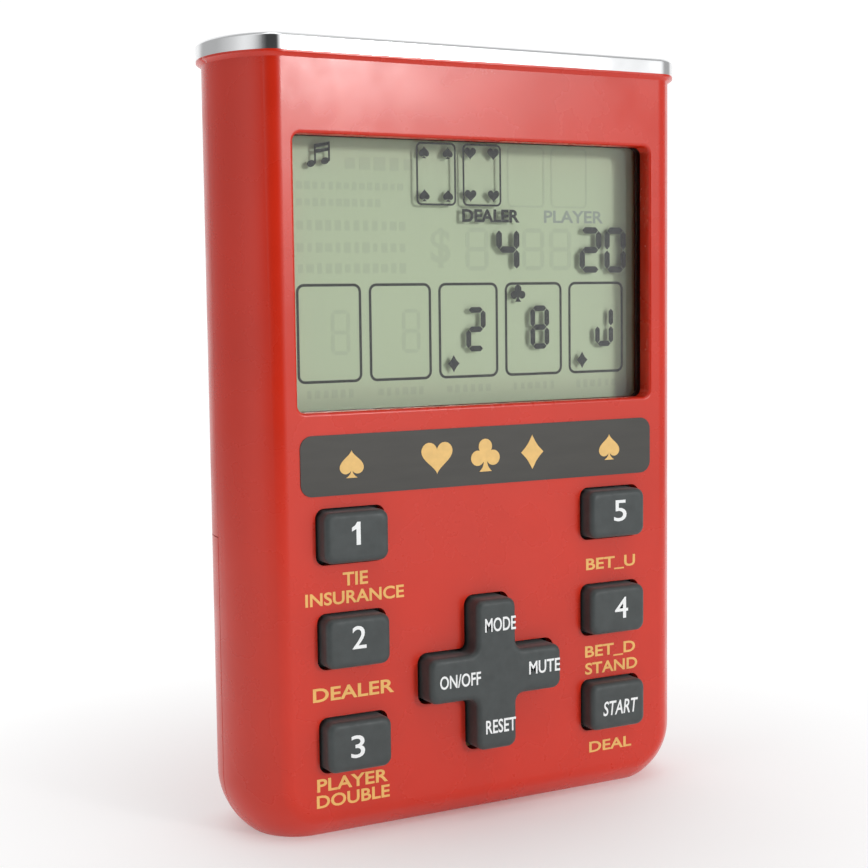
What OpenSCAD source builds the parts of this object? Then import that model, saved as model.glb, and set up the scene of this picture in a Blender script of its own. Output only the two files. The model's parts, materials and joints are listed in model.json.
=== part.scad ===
// Handheld card game with a liquid crystal display, six keys and a rocking cross key.
// X is to the right, Y is to the back and Z is up. The game stands on its flat base at Z = 0,
// and its front and back faces are at equal distances from Y = 0.

/* [Case] */
// Width over the bulged sides
case_w = 76.6; // [70:0.1:100]
// Depth from front face to back face
case_d = 22; // [20.6:0.1:26.8]
// Height from the base to the top of the cap
case_h = 114.5; // [112:0.1:150]
// Wall of the plastic shells
wall = 2; // [1.6:0.1:2.4]
// Radius of the long edges beside the front and back faces
edge_r = 3; // [2.6:0.1:4]
// Radius of the bulge in each side, seen from above
bulge_r = 13.7; // [13.4:0.1:18]
// Radius of the bottom corners, seen from the front
corner_r = 11; // [9:0.1:14]
// How much of the bulged underside is planed off to make the flat base
base_cut = 2.2; // [1:0.1:3]
// Height of the overlapping lip where the two shells meet
lip_h = 1; // [0.6:0.1:1.5]
// Clearance between plastic parts that are assembled once
fit_gap = 0.1; // [0.05:0.01:0.2]

/* [Top cap] */
// Thickness of the plated cap
cap_t = 2.35; // [1.6:0.05:4]
// Overhang of the cap past the case walls
cap_overhang = 0.75; // [0.4:0.05:1.5]
// Bevel around the cap's top edge
cap_bevel = 0.4; // [0.2:0.05:0.8]
// Height of the flared shoulder under the cap
shoulder_h = 0.85; // [0.5:0.05:1.5]
// Length of the tongue that keys the cap into the case
cap_tongue_w = 56; // [40:1:60]
// Depth front to back of that tongue
cap_tongue_d = 11; // [8:0.5:14]
// Height of that tongue
cap_tongue_h = 0.9; // [0.5:0.1:1.2]

/* [Display] */
// Width of the window opening
window_w = 60.2; // [50:0.1:61]
// Height of the window opening
window_h = 39; // [30:0.1:42]
// Corner radius of the window opening
window_r = 1.2; // [0.6:0.1:3]
// Distance from the shoulder down to the window
window_drop = 10.3; // [10.2:0.05:20]
// Depth from the front face to the lens
window_depth = 2.6; // [2.4:0.1:3]
// How far the lens reaches under the window's rim
lens_lap = 1.1; // [0.8:0.1:1.3]
// Thickness of the lens
lens_t = 0.8; // [0.6:0.1:1]
// Thickness of the foam gasket
gasket_t = 0.7; // [0.5:0.1:1]
// Thickness of the front polarising film
film_t = 0.2; // [0.15:0.05:0.3]
// Thickness of each sheet of display glass
glass_t = 1; // [0.7:0.05:1.1]
// Thickness of the reflector film
reflector_t = 0.3; // [0.2:0.05:0.4]
// Thickness of the pad between display and board
pad_t = 0.4; // [0.3:0.05:0.8]
// How far the glass reaches past the window at each side and above
glass_lap = 1.9; // [1.5:0.1:2]
// Height of the contact ledge below the window
ledge_h = 3.4; // [3:0.1:3.6]
// Height of the conductive rubber strip that joins the ledge to the board
zebra_w = 1.3; // [0.9:0.1:1.5]

/* [Label] */
// Width of the label
label_w = 60; // [40:0.1:62]
// Height of the label
label_h = 8.66; // [6:0.01:9]
// Thickness of the label
label_t = 0.12; // [0.08:0.01:0.3]
// Corner radius of the label
label_r = 1.8; // [0.5:0.1:3]
// Gap from the window down to the label
label_gap = 3.2; // [2:0.1:4]

/* [Keys] */
// Width of a key hole
key_hole_w = 10.95; // [9:0.05:12]
// Height of a key hole
key_hole_h = 8.15; // [6.8:0.05:8.6]
// Corner radius of a key hole
key_hole_r = 1.35; // [1:0.05:2]
// Distance of each column of keys from the middle
key_col_x = 22.35; // [21:0.05:23]
// Height of the lowest row of keys
key_row_z = 14.1; // [13.6:0.05:18]
// Distance between the rows of keys
key_pitch = 15.1; // [12:0.05:15.6]
// Clearance round a key in its hole
key_gap = 0.4; // [0.3:0.05:0.5]
// How far a key stands out of the front face
key_proud = 2.5; // [1.5:0.1:4]
// Rounding of a key's face edges
key_edge_r = 0.6; // [0.3:0.1:1]
// Travel of a key
key_travel = 1; // [0.6:0.05:1.1]
// How far the flange reaches under the case
key_flange_lap = 0.7; // [0.5:0.05:0.9]
// Thickness of the flange
key_flange_t = 0.8; // [0.6:0.05:1]
// Clearance between the flange and the case
key_flange_gap = 0.15; // [0.1:0.05:0.3]
// Radius of the stem under a key
key_stem_r = 2.2; // [1.8:0.1:2.3]

/* [Cross key] */
// Height of the middle of the cross
cross_z = 21.87; // [20:0.01:26]
// Length of the cross hole from tip to tip
cross_hole_l = 23.6; // [20:0.1:24]
// Width of an arm of the cross hole
cross_hole_w = 7.7; // [6.8:0.1:8]
// Radius of the outer corners of the hole
cross_out_r = 1.5; // [0.8:0.1:2]
// Radius of the inner corners of the hole
cross_in_r = 1; // [0.5:0.1:2]
// Clearance round the cross in its hole
cross_gap = 0.45; // [0.4:0.05:0.6]
// How far the cross stands out of the front face
cross_proud = 3.2; // [2:0.1:4]
// Thickness of the retaining disc
cross_disc_t = 0.8; // [0.6:0.1:1]
// Radius of the retaining disc
cross_disc_r = 7; // [6.4:0.1:7.2]
// Gap between the retaining disc and the case, which lets the cross rock
cross_disc_gap = 0.7; // [0.65:0.05:0.8]
// Radius of the ball that the cross rocks on
pivot_r = 1.6; // [1.5:0.05:1.65]
// Running clearance between ball and socket
pivot_gap = 0.05; // [0.02:0.01:0.1]
// Radius of the socket's collar
collar_r = 2.6; // [2.2:0.1:2.8]
// Distance of each contact from the middle of the cross
cross_contact_x = 8.3; // [8:0.1:8.6]
// Radius of the stem under each arm
cross_stem_r = 1.5; // [1.2:0.1:1.6]
// Gap between carbon pill and board under each arm
cross_pill_gap = 0.7; // [0.65:0.05:0.9]

/* [Keypad rubber] */
// Thickness of the rubber web on the board
web_t = 1; // [0.8:0.1:1.2]
// Wall of the collapsing domes
dome_wall = 0.5; // [0.4:0.05:0.7]
// How much wider a dome is at the web than at the key
dome_spread = 0.8; // [0.4:0.1:1]
// Thickness of the carbon pills
pill_t = 0.3; // [0.2:0.05:0.5]
// Thickness of the contact pads on the board
contact_t = 0.05; // [0.03:0.01:0.1]

/* [Board] */
// Thickness of the circuit board
board_t = 1.2; // [0.8:0.1:1.2]
// Clearance between the board and the case walls
board_gap = 2.2; // [1.5:0.1:3]
// Radius of the chip's resin blob
blob_r = 7; // [5:0.5:9]
// Height of the chip's resin blob
blob_h = 1.5; // [1:0.1:2]
// Radius of the two capacitor cans
can_r = 2; // [1.5:0.1:3]
// Height of the two capacitor cans
can_h = 5; // [4:0.5:7]
// Radius of the clock crystal's can
crystal_r = 1; // [0.8:0.1:1.5]
// Length of the clock crystal's can
crystal_l = 6; // [5:0.5:8]

/* [Screws] */
// Radius of a screw's thread
screw_r = 1; // [0.8:0.05:1.1]
// Radius of a screw's head
screw_head_r = 1.9; // [1.6:0.1:2.1]
// Thickness of a screw's head
screw_head_t = 1.2; // [1:0.1:1.4]
// Clearance hole radius round a screw
screw_hole_r = 1.2; // [1.15:0.05:1.4]
// Radius of a moulded screw post
post_r = 2.5; // [2.2:0.1:2.6]
// Distance of the upper case screws from the case's sides
case_screw_x_inset = 9.3; // [9:0.1:11]
// Distance of the upper case screws below the shoulder
case_screw_drop = 5; // [4.9:0.05:6]
// Height of the lower case screws
low_screw_z = 7; // [7:0.1:7.2]
// Distance of the lower case screws from the middle
low_screw_x = 14; // [12:0.1:14]

/* [Batteries] */
// Diameter of a battery
battery_dia = 10.5; // [10:0.1:10.6]
// Length of a battery over its button
battery_l = 44.5; // [40:0.1:46]
// Radius of a battery's button
button_r = 1.9; // [1.5:0.1:2.4]
// Length of a battery's button
button_l = 0.8; // [0.6:0.1:1.2]
// Gap between the two batteries
battery_gap = 0.6; // [0.4:0.1:1]
// Floor of the battery bay
bay_floor = 0.8; // [0.6:0.1:1]
// Walls of the battery bay
bay_wall = 1.2; // [1:0.1:1.5]
// Height of the battery bay's inner floor above the base
bay_z = 11; // [11:0.1:12]
// Thickness of the contact plates
plate_t = 0.4; // [0.3:0.05:0.5]
// Height of the contact bumps
bump_h = 1; // [0.6:0.1:1.2]
// Working length of a contact spring
spring_h = 3; // [2.5:0.1:4]
// Height of the door's top edge
door_z = 43.9; // [40:0.1:46]
// Clearance round the door
door_gap = 0.12; // [0.08:0.01:0.2]
// Travel of the door before it lifts away
door_travel = 6; // [4:0.5:6]

/* [Sounder] */
// Radius of the brass disc
sounder_r = 10; // [8:0.5:12]
// Thickness of the brass disc
sounder_t = 0.25; // [0.2:0.05:0.4]
// Radius of the ceramic layer
ceramic_r = 7; // [5:0.5:8]
// Radius of a sound hole
sound_hole_r = 0.7; // [0.5:0.1:1]
// Distance of the ring of sound holes from the middle one
sound_ring_r = 4; // [3:0.5:6]
// Number of sound holes in the ring
sound_holes = 6; // [4:1:8]

/* [Hidden] */
$fn = 64;
big = 400;
// How far parts of one moulding run into each other
overlap = 0.01;
// How far a cutter passes the face it cuts
cut = 1;
// How far a cutter passes a face that it must not thin
hair = 0.001;
// Clearance round posts and stems in the board and the rubber web
round_gap = 0.3;

// Case outline, seen from above
shoulder_edge = 0.3;
lip_top_gap = 0.2;
front_y = -case_d / 2;
back_y = case_d / 2;
edge_y = case_d / 2 - edge_r;
bulge_x = case_w / 2 - bulge_r;
edge_x = bulge_x + sqrt(pow(bulge_r - edge_r, 2) - pow(edge_y, 2));
corner_x = case_w / 2 - corner_r;
corner_z = corner_r - base_cut;
cap_z = case_h - cap_t;
shoulder_z = cap_z - shoulder_h;
inner_front = front_y + wall;
inner_back = back_y - wall;

// Display stack, from the front face to the board
window_z = shoulder_z - window_drop - window_h / 2;
window_bottom = window_z - window_h / 2;
lens_y = front_y + window_depth;
gasket_y = lens_y + lens_t;
film_y = gasket_y + gasket_t;
front_glass_y = film_y + film_t;
rear_glass_y = front_glass_y + glass_t;
reflector_y = rear_glass_y + glass_t;
pad_y = reflector_y + reflector_t;
board_y = pad_y + pad_t;
board_back = board_y + board_t;
lens_w = window_w + 2 * lens_lap;
lens_h = window_h + 2 * lens_lap;
glass_w = window_w + 2 * glass_lap;
rear_glass_h = window_h + 2 * glass_lap;
glass_top = window_z + window_h / 2 + glass_lap;
ledge_bottom = window_bottom - ledge_h;
// Thickness of the ribs round the glass, corner radius of the lens, and how far the reflector
// and the display pad stay inside the glass
rib_t = 1;
lens_r = 0.6;
reflector_inset = 0.5;
pad_inset = 1;
label_z = window_bottom - label_gap - label_h / 2;

// Keys: place and name of each, from the left column down and then the right column down
row_z = [for (i = [0:2]) key_row_z + (2 - i) * key_pitch];
web_y = board_y - web_t;
pad_front_y = board_y - contact_t;
key_w = key_hole_w - 2 * key_gap;
key_h = key_hole_h - 2 * key_gap;
key_r = key_hole_r - key_gap;
key_flange_y = inner_front + key_flange_gap;
key_under_y = key_flange_y + key_flange_t;
pill_y = pad_front_y - key_travel - pill_t;
dome_top_r = key_stem_r + 0.9;
key_contact_r = 2.2;
key_pill_r = key_stem_r - 0.3;

// Cross key: its ball rests on the rubber web
pivot_y = web_y - pivot_r;
cross_disc_y = inner_front + cross_disc_gap;
cross_under_y = cross_disc_y + cross_disc_t;
cross_pill_y = pad_front_y - cross_pill_gap - pill_t;
cross_l = cross_hole_l - 2 * cross_gap;
cross_w = cross_hole_w - 2 * cross_gap;
cross_dome_r = cross_stem_r + 0.6;
cross_contact_r = 1.6;
cross_pill_r = cross_stem_r - 0.2;
cross_tip_r = cross_out_r - 0.2;

// Board
board_half_w = bulge_x + sqrt(pow(bulge_r - wall, 2) - pow(board_y, 2)) - board_gap;
board_bottom = wall + 2.5;
board_top = glass_top + 0.4;
board_screw_at = [
    [-board_half_w + 3.6, ledge_bottom - 5.6],
    [board_half_w - 3.6, ledge_bottom - 5.6],
    [0, row_z[0] - 2.6],
    [0, board_bottom + 1.9]
];
board_post_r = 1.9;
// Places of the small parts on the board's back, from the middle of the display
crystal_x = -14;
crystal_drop = 12;
can_x = 20;
can_drop = 14;
resistor_x = 14;
resistor_pitch = 4;
case_screw_x = case_w / 2 - case_screw_x_inset;
case_screw_z = shoulder_z - case_screw_drop;
case_screw_seat = inner_back - 5;
// Plastic left in front of a pilot hole
pilot_skin = 1;
// Clearance round a sunk screw head, and room for a head behind the battery bay's floor
head_gap = 0.25;
head_room = 0.6;
// Screw posts of the back cover, and the bosses of the lower case screws
back_post_r = post_r + 0.6;
low_boss_r = post_r + 0.4;
low_boss_h = 0.8;
// How deep the board screws and the upper case screws bite, and the length of the lower ones
board_screw_bite = 3;
case_screw_bite = 4;
low_screw_l = 5;

// Battery bay, behind the door
cell_r = battery_dia / 2;
bay_l = battery_l + 2 * plate_t + bump_h + spring_h;
bay_h = 2 * battery_dia + battery_gap + 2 * fit_gap;
cell_y = inner_back - fit_gap - cell_r;
bay_y = cell_y - cell_r;
lower_cell_z = bay_z + fit_gap + cell_r;
upper_cell_z = lower_cell_z + battery_dia + battery_gap;
bay_out_x = bay_l / 2 + bay_wall;
bay_top = bay_z + bay_h;
shelf_z = door_z + 3.4;
// Contact plates: distance from the bay's edges, reach past the cell's middle and half the gap
// between two plates
plate_inset = 0.6;
plate_reach = 3.5;
plate_gap = 0.4;
// Solder tails and the slots in which they pass the bay's wall
tail_y = cell_y - 3;
tail_t = 0.4;
tail_h = 2;
tail_out = 1.2;
tail_slot_t = 2.4;
tail_slot_h = 2.8;

// Battery door: short hooks pass behind short rails, and have left them after the door's travel
hook_l = door_travel - 1;
hook_t = 1.1;
hook_gap = 0.3;
rail_back_y = cell_y;
rail_front_y = rail_back_y - 1;
hook_z = [bay_z + 3, bay_top - hook_l];
// Tongue along the door's top edge: its bare part slides up behind the back cover
door_tongue_w = 36;
door_tongue_t = 1.2;
door_tongue_up = 2.6;
door_tongue_down = 3;
door_tongue_bare = 0.8;
door_tongue_gap = 0.15;
// Finger grooves in the door, each row shorter than the one above
grip_rows = 5;
grip_half_w = 9;
grip_taper = 0.9;
grip_depth = 0.5;
grip_drop = 7;
grip_t = 1;
grip_pitch = 2;
// How far the walls between door and shelf stay below the back cover's inside
shelf_wall_drop = 2.2;

sounder_z = (shelf_z + case_screw_z) / 2;
sounder_ring_h = 1.4;
sounder_ring_t = 1;
// Wires: radius, sides of their outline, and the heights above the board of their bend and end
wire_r = 0.5;
wire_sides = 8;
wire_bend = 2.4;
wire_drop = 1.2;
wire_end = 0.05;

// ---- Outlines ----

module slab(w, h, r) {
    square([w - 2 * r, h], center = true);
    square([w, h - 2 * r], center = true);
    for (x = [-1, 1], y = [-1, 1])
        translate([x * (w / 2 - r), y * (h / 2 - r)]) circle(r = r);
}

// A cross with rounded tips and filleted inner corners
module cross_outline(l, w, out_r, in_r) {
    slab(l, w, out_r);
    slab(w, l, out_r);
    for (a = [0:90:270])
        rotate(a) translate([w / 2, w / 2])
            difference() {
                translate([-0.1, -0.1]) square(in_r + 0.1);
                translate([in_r, in_r]) circle(r = in_r);
            }
}

// The case seen from above, moved inwards by inset
module plan(inset) {
    square([2 * edge_x, case_d - 2 * inset], center = true);
    for (s = [-1, 1]) {
        for (t = [-1, 1])
            translate([s * edge_x, t * edge_y]) circle(r = edge_r - inset);
        intersection() {
            translate([s * bulge_x, 0]) circle(r = bulge_r - inset);
            translate([s * bulge_x, 0])
                polygon([[0, 0], s * 4 * [edge_x - bulge_x, -edge_y], s * 4 * [edge_x - bulge_x, edge_y]]);
        }
    }
}

// Side of that outline, measured from the centre of a bottom corner
module side_profile(inset) {
    intersection() {
        translate([-corner_x, 0]) plan(inset);
        translate([0, -case_d]) square([case_w, 2 * case_d]);
    }
}

// ---- Helpers ----

// Extrudes a front-view outline from y0 back to y1
module along_y(y0, y1) {
    translate([0, y1, 0]) rotate([90, 0, 0]) linear_extrude(y1 - y0) children();
}

module post(x, z, y0, y1, r) {
    translate([x, y1, z]) rotate([90, 0, 0]) cylinder(r = r, h = y1 - y0);
}

module bar(x0, x1, y0, y1, z0, z1) {
    translate([x0, y0, z0]) cube([x1 - x0, y1 - y0, z1 - z0]);
}

// The whole case as one solid: the side profile swept down, round the corners and across
module form(inset, top_z) {
    intersection() {
        union() {
            translate([0, 0, corner_z]) linear_extrude(top_z - corner_z) plan(inset);
            translate([-corner_x, 0, corner_z]) rotate([0, 90, 0])
                linear_extrude(2 * corner_x) side_profile(inset);
            for (s = [-1, 1])
                translate([s * corner_x, 0, corner_z]) rotate([90, 0, 0])
                    rotate_extrude() side_profile(inset);
        }
        bar(-big, big, -big, big, inset, top_z);
    }
}

// The flared shoulder on which the cap sits
module shoulder() {
    hull() {
        translate([0, 0, shoulder_z]) linear_extrude(overlap) plan(0);
        translate([0, 0, cap_z - shoulder_edge]) linear_extrude(shoulder_edge) plan(-cap_overhang);
    }
}

module shell() {
    difference() {
        union() {
            form(0, shoulder_z + overlap / 2);
            shoulder();
        }
        form(wall, cap_z - wall - cap_tongue_h);
        bar(-cap_tongue_w / 2 - fit_gap, cap_tongue_w / 2 + fit_gap,
            -cap_tongue_d / 2 - fit_gap, cap_tongue_d / 2 + fit_gap,
            cap_z - cap_tongue_h - fit_gap, big);
    }
}

// The step along the seam in which the back cover's lip sits
module lip(inset, y0) {
    intersection() {
        difference() {
            form(wall / 2 + inset, cap_z - wall / 2 - cap_tongue_h - inset - lip_top_gap);
            form(wall, cap_z - wall - cap_tongue_h);
        }
        bar(-big, big, y0, overlap, corner_z, big);
    }
}

function key_x(i) = i < 3 ? -key_col_x : key_col_x;

// ---- Case ----

module front_cover() {
    color([0.80, 0.16, 0.10])
    difference() {
        union() {
            intersection() {
                shell();
                bar(-big, big, -big, 0, -big, big);
            }
            window_rim();
            for (p = board_screw_at)
                post(p[0], p[1], inner_front - overlap, board_y, board_post_r);
            for (s = [-1, 1]) {
                post(s * case_screw_x, case_screw_z, inner_front - overlap, 0, post_r);
                post(s * low_screw_x, low_screw_z, inner_front - overlap, bay_y - bay_floor, post_r);
            }
        }
        translate([0, 0, window_z]) along_y(-big, 0) slab(window_w, window_h, window_r);
        for (i = [0:5])
            translate([key_x(i), 0, row_z[i % 3]]) along_y(front_y - cut, key_flange_y)
                slab(key_hole_w, key_hole_h, key_hole_r);
        translate([0, 0, cross_z]) along_y(front_y - cut, cross_disc_y)
            cross_outline(cross_hole_l, cross_hole_w, cross_out_r, cross_in_r);
        difference() {
            lip(0, -lip_h - fit_gap);
            for (s = [-1, 1])
                post(s * case_screw_x, case_screw_z, -big, 0, post_r);
        }
        for (p = board_screw_at)
            post(p[0], p[1], inner_front + pilot_skin, 0, screw_r);
        for (s = [-1, 1]) {
            post(s * case_screw_x, case_screw_z, inner_front + pilot_skin, cut, screw_r);
            post(s * low_screw_x, low_screw_z, inner_front + pilot_skin, cut, screw_r);
        }
    }
}

// Rim that the lens rests on, and the ribs that hold lens, gasket and glass
module window_rim() {
    rib_w = glass_w + 2 * fit_gap;
    z0 = ledge_bottom - fit_gap;
    z1 = glass_top + fit_gap;
    intersection() {
        union() {
            translate([0, 0, window_z]) along_y(inner_front - overlap, lens_y)
                square([rib_w + 2 * rib_t, window_h + 2 * glass_lap], center = true);
            difference() {
                bar(-rib_w / 2 - rib_t, rib_w / 2 + rib_t, inner_front - overlap, reflector_y,
                    z0 - rib_t, z1 + rib_t);
                bar(-rib_w / 2, rib_w / 2, lens_y, big, z0, z1);
                bar(-rib_w / 2, rib_w / 2, -big, big, z0, window_bottom - glass_lap);
            }
            difference() {
                translate([0, 0, window_z]) along_y(lens_y - overlap, film_y)
                    square([rib_w + 2 * overlap, rear_glass_h], center = true);
                translate([0, 0, window_z]) along_y(lens_y, big)
                    square([lens_w + 2 * fit_gap, lens_h + 2 * fit_gap], center = true);
            }
        }
        form(wall / 2, cap_z - wall);
    }
}

module back_cover() {
    color([0.78, 0.15, 0.10])
    difference() {
        union() {
            intersection() {
                shell();
                bar(-big, big, 0, big, door_z, big);
            }
            difference() {
                intersection() {
                    lip(fit_gap, -lip_h);
                    bar(-big, big, -big, big, shelf_z, big);
                }
                for (s = [-1, 1])
                    post(s * case_screw_x, case_screw_z, -big, cut, post_r + fit_gap);
            }
            battery_bay();
            for (s = [-1, 1]) {
                post(s * case_screw_x, case_screw_z, fit_gap, inner_back + overlap, back_post_r);
                post(s * low_screw_x, low_screw_z, bay_y - bay_floor, bay_y + low_boss_h, low_boss_r);
            }
            difference() {
                post(0, sounder_z, inner_back - sounder_ring_h, inner_back + overlap,
                    sounder_r + sounder_ring_t);
                post(0, sounder_z, -big, inner_back, sounder_r + fit_gap);
            }
        }
        for (s = [-1, 1]) {
            post(s * case_screw_x, case_screw_z, -cut, big, screw_hole_r);
            post(s * case_screw_x, case_screw_z, case_screw_seat, big, screw_head_r + head_gap);
            post(s * low_screw_x, low_screw_z, -big, big, screw_hole_r);
        }
        post(0, sounder_z, 0, big, sound_hole_r);
        sound_ring();
    }
}

module sound_ring() {
    for (i = [1:sound_holes])
        post(sound_ring_r * cos(i * 360 / sound_holes),
            sounder_z + sound_ring_r * sin(i * 360 / sound_holes), 0, big, sound_hole_r);
}

// Floor, walls and shelf behind the door, one moulding with the back cover
module battery_bay() {
    floor_y = bay_y - bay_floor;
    ridge_z = lower_cell_z + cell_r + battery_gap / 2;
    ridge_inset = 3;
    ridge_h = 1.2;
    ridge_t = 1;
    difference() {
        union() {
            bar(-bay_out_x, bay_out_x, floor_y, bay_y, bay_z - bay_wall, shelf_z + bay_wall);
            for (s = [-1, 1]) scale([s, 1, 1]) {
                bar(bay_l / 2, bay_out_x, floor_y, inner_back - door_gap, bay_z - bay_wall, bay_top + bay_wall);
                bar(bay_l / 2, bay_out_x, floor_y, inner_back - shelf_wall_drop, bay_top, shelf_z + bay_wall);
                bar(low_screw_x - post_r, low_screw_x + post_r, floor_y, bay_y + low_boss_h,
                    low_screw_z, bay_z - bay_wall / 2);
                for (z = hook_z)
                    bar(bay_out_x - overlap, bay_out_x + hook_t, rail_front_y, rail_back_y, z, z + hook_l);
            }
            bar(-bay_out_x, bay_out_x, floor_y, inner_back - door_gap, bay_z - bay_wall, bay_z);
            bar(-bay_out_x, bay_out_x, floor_y, inner_back - door_gap, bay_top, bay_top + bay_wall);
            bar(-bay_l / 2 + ridge_inset, bay_l / 2 - ridge_inset, floor_y, bay_y + ridge_h,
                ridge_z - ridge_t / 2, ridge_z + ridge_t / 2);
            bar(-bay_out_x, bay_out_x, floor_y, inner_back + overlap, shelf_z, shelf_z + bay_wall);
        }
        for (z = [lower_cell_z, upper_cell_z])
            bar(bay_l / 2 - overlap, bay_out_x + overlap, tail_y - tail_slot_t / 2,
                tail_y + tail_slot_t / 2, z - tail_slot_h / 2, z + tail_slot_h / 2);
        for (p = board_screw_at)
            post(p[0], p[1], -big, bay_y + overlap, screw_head_r + head_room);
    }
}

module battery_door() {
    tongue_y = inner_back - door_tongue_t - door_tongue_gap;
    hook_x = bay_out_x + hook_gap;
    hook_y = rail_front_y - hook_gap - hook_t;
    color([0.78, 0.15, 0.10])
    difference() {
        union() {
            intersection() {
                difference() {
                    form(0, shoulder_z);
                    form(wall, shoulder_z - wall);
                }
                bar(-big, big, door_gap, big, -cut, door_z - door_gap);
            }
            bar(-door_tongue_w / 2, door_tongue_w / 2, tongue_y, tongue_y + door_tongue_t,
                door_z - door_tongue_down, door_z + door_tongue_up);
            bar(-door_tongue_w / 2, door_tongue_w / 2, tongue_y, inner_back + overlap,
                door_z - door_tongue_down, door_z - door_tongue_bare);
            for (s = [-1, 1], z = hook_z) scale([s, 1, 1]) {
                bar(hook_x + hook_t, hook_x + 2 * hook_t, hook_y, inner_back + overlap, z, z + hook_l);
                bar(hook_x, hook_x + 1.5 * hook_t, hook_y, hook_y + hook_t, z, z + hook_l);
            }
        }
        for (i = [0:grip_rows - 1])
            bar(-grip_half_w + i * grip_taper, grip_half_w - i * grip_taper, back_y - grip_depth, big,
                door_z - grip_drop - i * grip_pitch, door_z - grip_drop + grip_t - i * grip_pitch);
    }
}

module top_cap() {
    color([0.82, 0.83, 0.85])
    union() {
        hull() {
            translate([0, 0, cap_z]) linear_extrude(cap_t - cap_bevel) plan(-cap_overhang);
            translate([0, 0, case_h - overlap]) linear_extrude(overlap) plan(cap_bevel - cap_overhang);
        }
        bar(-cap_tongue_w / 2, cap_tongue_w / 2, -cap_tongue_d / 2, cap_tongue_d / 2,
            cap_z - cap_tongue_h, cap_z + overlap);
    }
}

module name_label() {
    color([0.2, 0.2, 0.19])
    translate([0, 0, label_z]) along_y(front_y - label_t, front_y) slab(label_w, label_h, label_r);
}

// ---- Display ----

module window_lens() {
    color([0.85, 0.9, 0.9, 0.3])
    translate([0, 0, window_z]) along_y(lens_y, gasket_y) slab(lens_w, lens_h, lens_r);
}

module lens_gasket() {
    color([0.05, 0.05, 0.05])
    translate([0, 0, window_z]) along_y(gasket_y, film_y)
        difference() {
            slab(lens_w, lens_h, lens_r);
            slab(window_w, window_h, window_r);
        }
}

module front_film() {
    color([0.7, 0.75, 0.65, 0.5])
    translate([0, 0, window_z]) along_y(film_y, front_glass_y)
        square([window_w + lens_lap, window_h + lens_lap], center = true);
}

module front_glass() {
    color([0.75, 0.85, 0.8, 0.4])
    bar(-glass_w / 2, glass_w / 2, front_glass_y, rear_glass_y, ledge_bottom, glass_top);
}

module rear_glass() {
    color([0.75, 0.85, 0.8, 0.4])
    bar(-glass_w / 2, glass_w / 2, rear_glass_y, reflector_y, glass_top - rear_glass_h, glass_top);
}

module reflector_film() {
    color([0.72, 0.78, 0.66])
    bar(-glass_w / 2 + reflector_inset, glass_w / 2 - reflector_inset, reflector_y, pad_y,
        glass_top - rear_glass_h + reflector_inset, glass_top - reflector_inset);
}

module display_pad() {
    color([0.9, 0.9, 0.88])
    bar(-glass_w / 2 + pad_inset, glass_w / 2 - pad_inset, pad_y, board_y,
        glass_top - rear_glass_h + pad_inset, glass_top - pad_inset);
}

module zebra_strip() {
    color([0.85, 0.6, 0.62])
    bar(-glass_w / 2 + pad_inset, glass_w / 2 - pad_inset, rear_glass_y, board_y,
        ledge_bottom + fit_gap, ledge_bottom + fit_gap + zebra_w);
}

// ---- Board ----

module circuit_board() {
    color([0.45, 0.33, 0.16])
    difference() {
        bar(-board_half_w, board_half_w, board_y, board_back, board_bottom, board_top);
        for (p = board_screw_at)
            post(p[0], p[1], -big, big, screw_hole_r);
        for (s = [-1, 1])
            post(s * low_screw_x, low_screw_z, -big, big, post_r + round_gap);
    }
}

module contact_pads() {
    color([0.1, 0.1, 0.1])
    union() {
        for (i = [0:5])
            post(key_x(i), row_z[i % 3], pad_front_y, board_y, key_contact_r);
        for (a = [0:90:270])
            post(cross_contact_x * cos(a), cross_z + cross_contact_x * sin(a), pad_front_y, board_y,
                cross_contact_r);
    }
}

module chip_blob() {
    ball_r = (blob_r * blob_r + blob_h * blob_h) / (2 * blob_h);
    color([0.03, 0.03, 0.03])
    translate([0, board_back, window_z]) rotate([-90, 0, 0]) rotate_extrude()
        intersection() {
            translate([0, blob_h - ball_r]) circle(r = ball_r, $fn = 200);
            square([blob_r + cut, blob_h + cut]);
        }
}

module clock_crystal() {
    color([0.75, 0.76, 0.78])
    translate([crystal_x, board_back + crystal_r, window_z - crystal_drop]) rotate([0, 90, 0])
        cylinder(r = crystal_r, h = crystal_l);
}

module capacitor_cans() {
    color([0.1, 0.12, 0.3])
    for (s = [-1, 1])
        post(s * can_x, window_z - can_drop, board_back, board_back + can_h, can_r);
}

module resistors() {
    body_r = 0.9;
    body_l = 3.4;
    lead_r = 0.25;
    lead_out = 1.5;
    color([0.78, 0.66, 0.45])
    for (i = [0:2])
        translate([resistor_x, board_back + body_r, window_z + (i + 1) * resistor_pitch]) {
            rotate([0, 90, 0]) cylinder(r = body_r, h = body_l, center = true);
            rotate([0, 90, 0]) cylinder(r = lead_r, h = body_l + 2 * lead_out, center = true);
        }
}

module board_screws() {
    color([0.72, 0.72, 0.74])
    for (p = board_screw_at)
        screw(p[0], p[1], board_back, board_t + board_screw_bite);
}

module case_screws() {
    color([0.72, 0.72, 0.74])
    for (s = [-1, 1]) {
        screw(s * case_screw_x, case_screw_z, case_screw_seat, case_screw_seat + case_screw_bite);
        screw(s * low_screw_x, low_screw_z, bay_y + low_boss_h, low_screw_l);
    }
}

// A pan-head screw whose head sits on seat_y, with a cross recess
module screw(x, z, seat_y, l) {
    recess_w = 0.45;
    recess_l = 1.1 * screw_head_r;
    recess_depth = 0.6;
    difference() {
        union() {
            post(x, z, seat_y, seat_y + screw_head_t, screw_head_r);
            post(x, z, seat_y - l, seat_y + overlap, screw_r);
        }
        for (a = [0, 90])
            translate([x, seat_y + screw_head_t, z]) rotate([0, a, 0])
                cube([recess_l, 2 * recess_depth, recess_w], center = true);
    }
}

// ---- Keys ----

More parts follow.
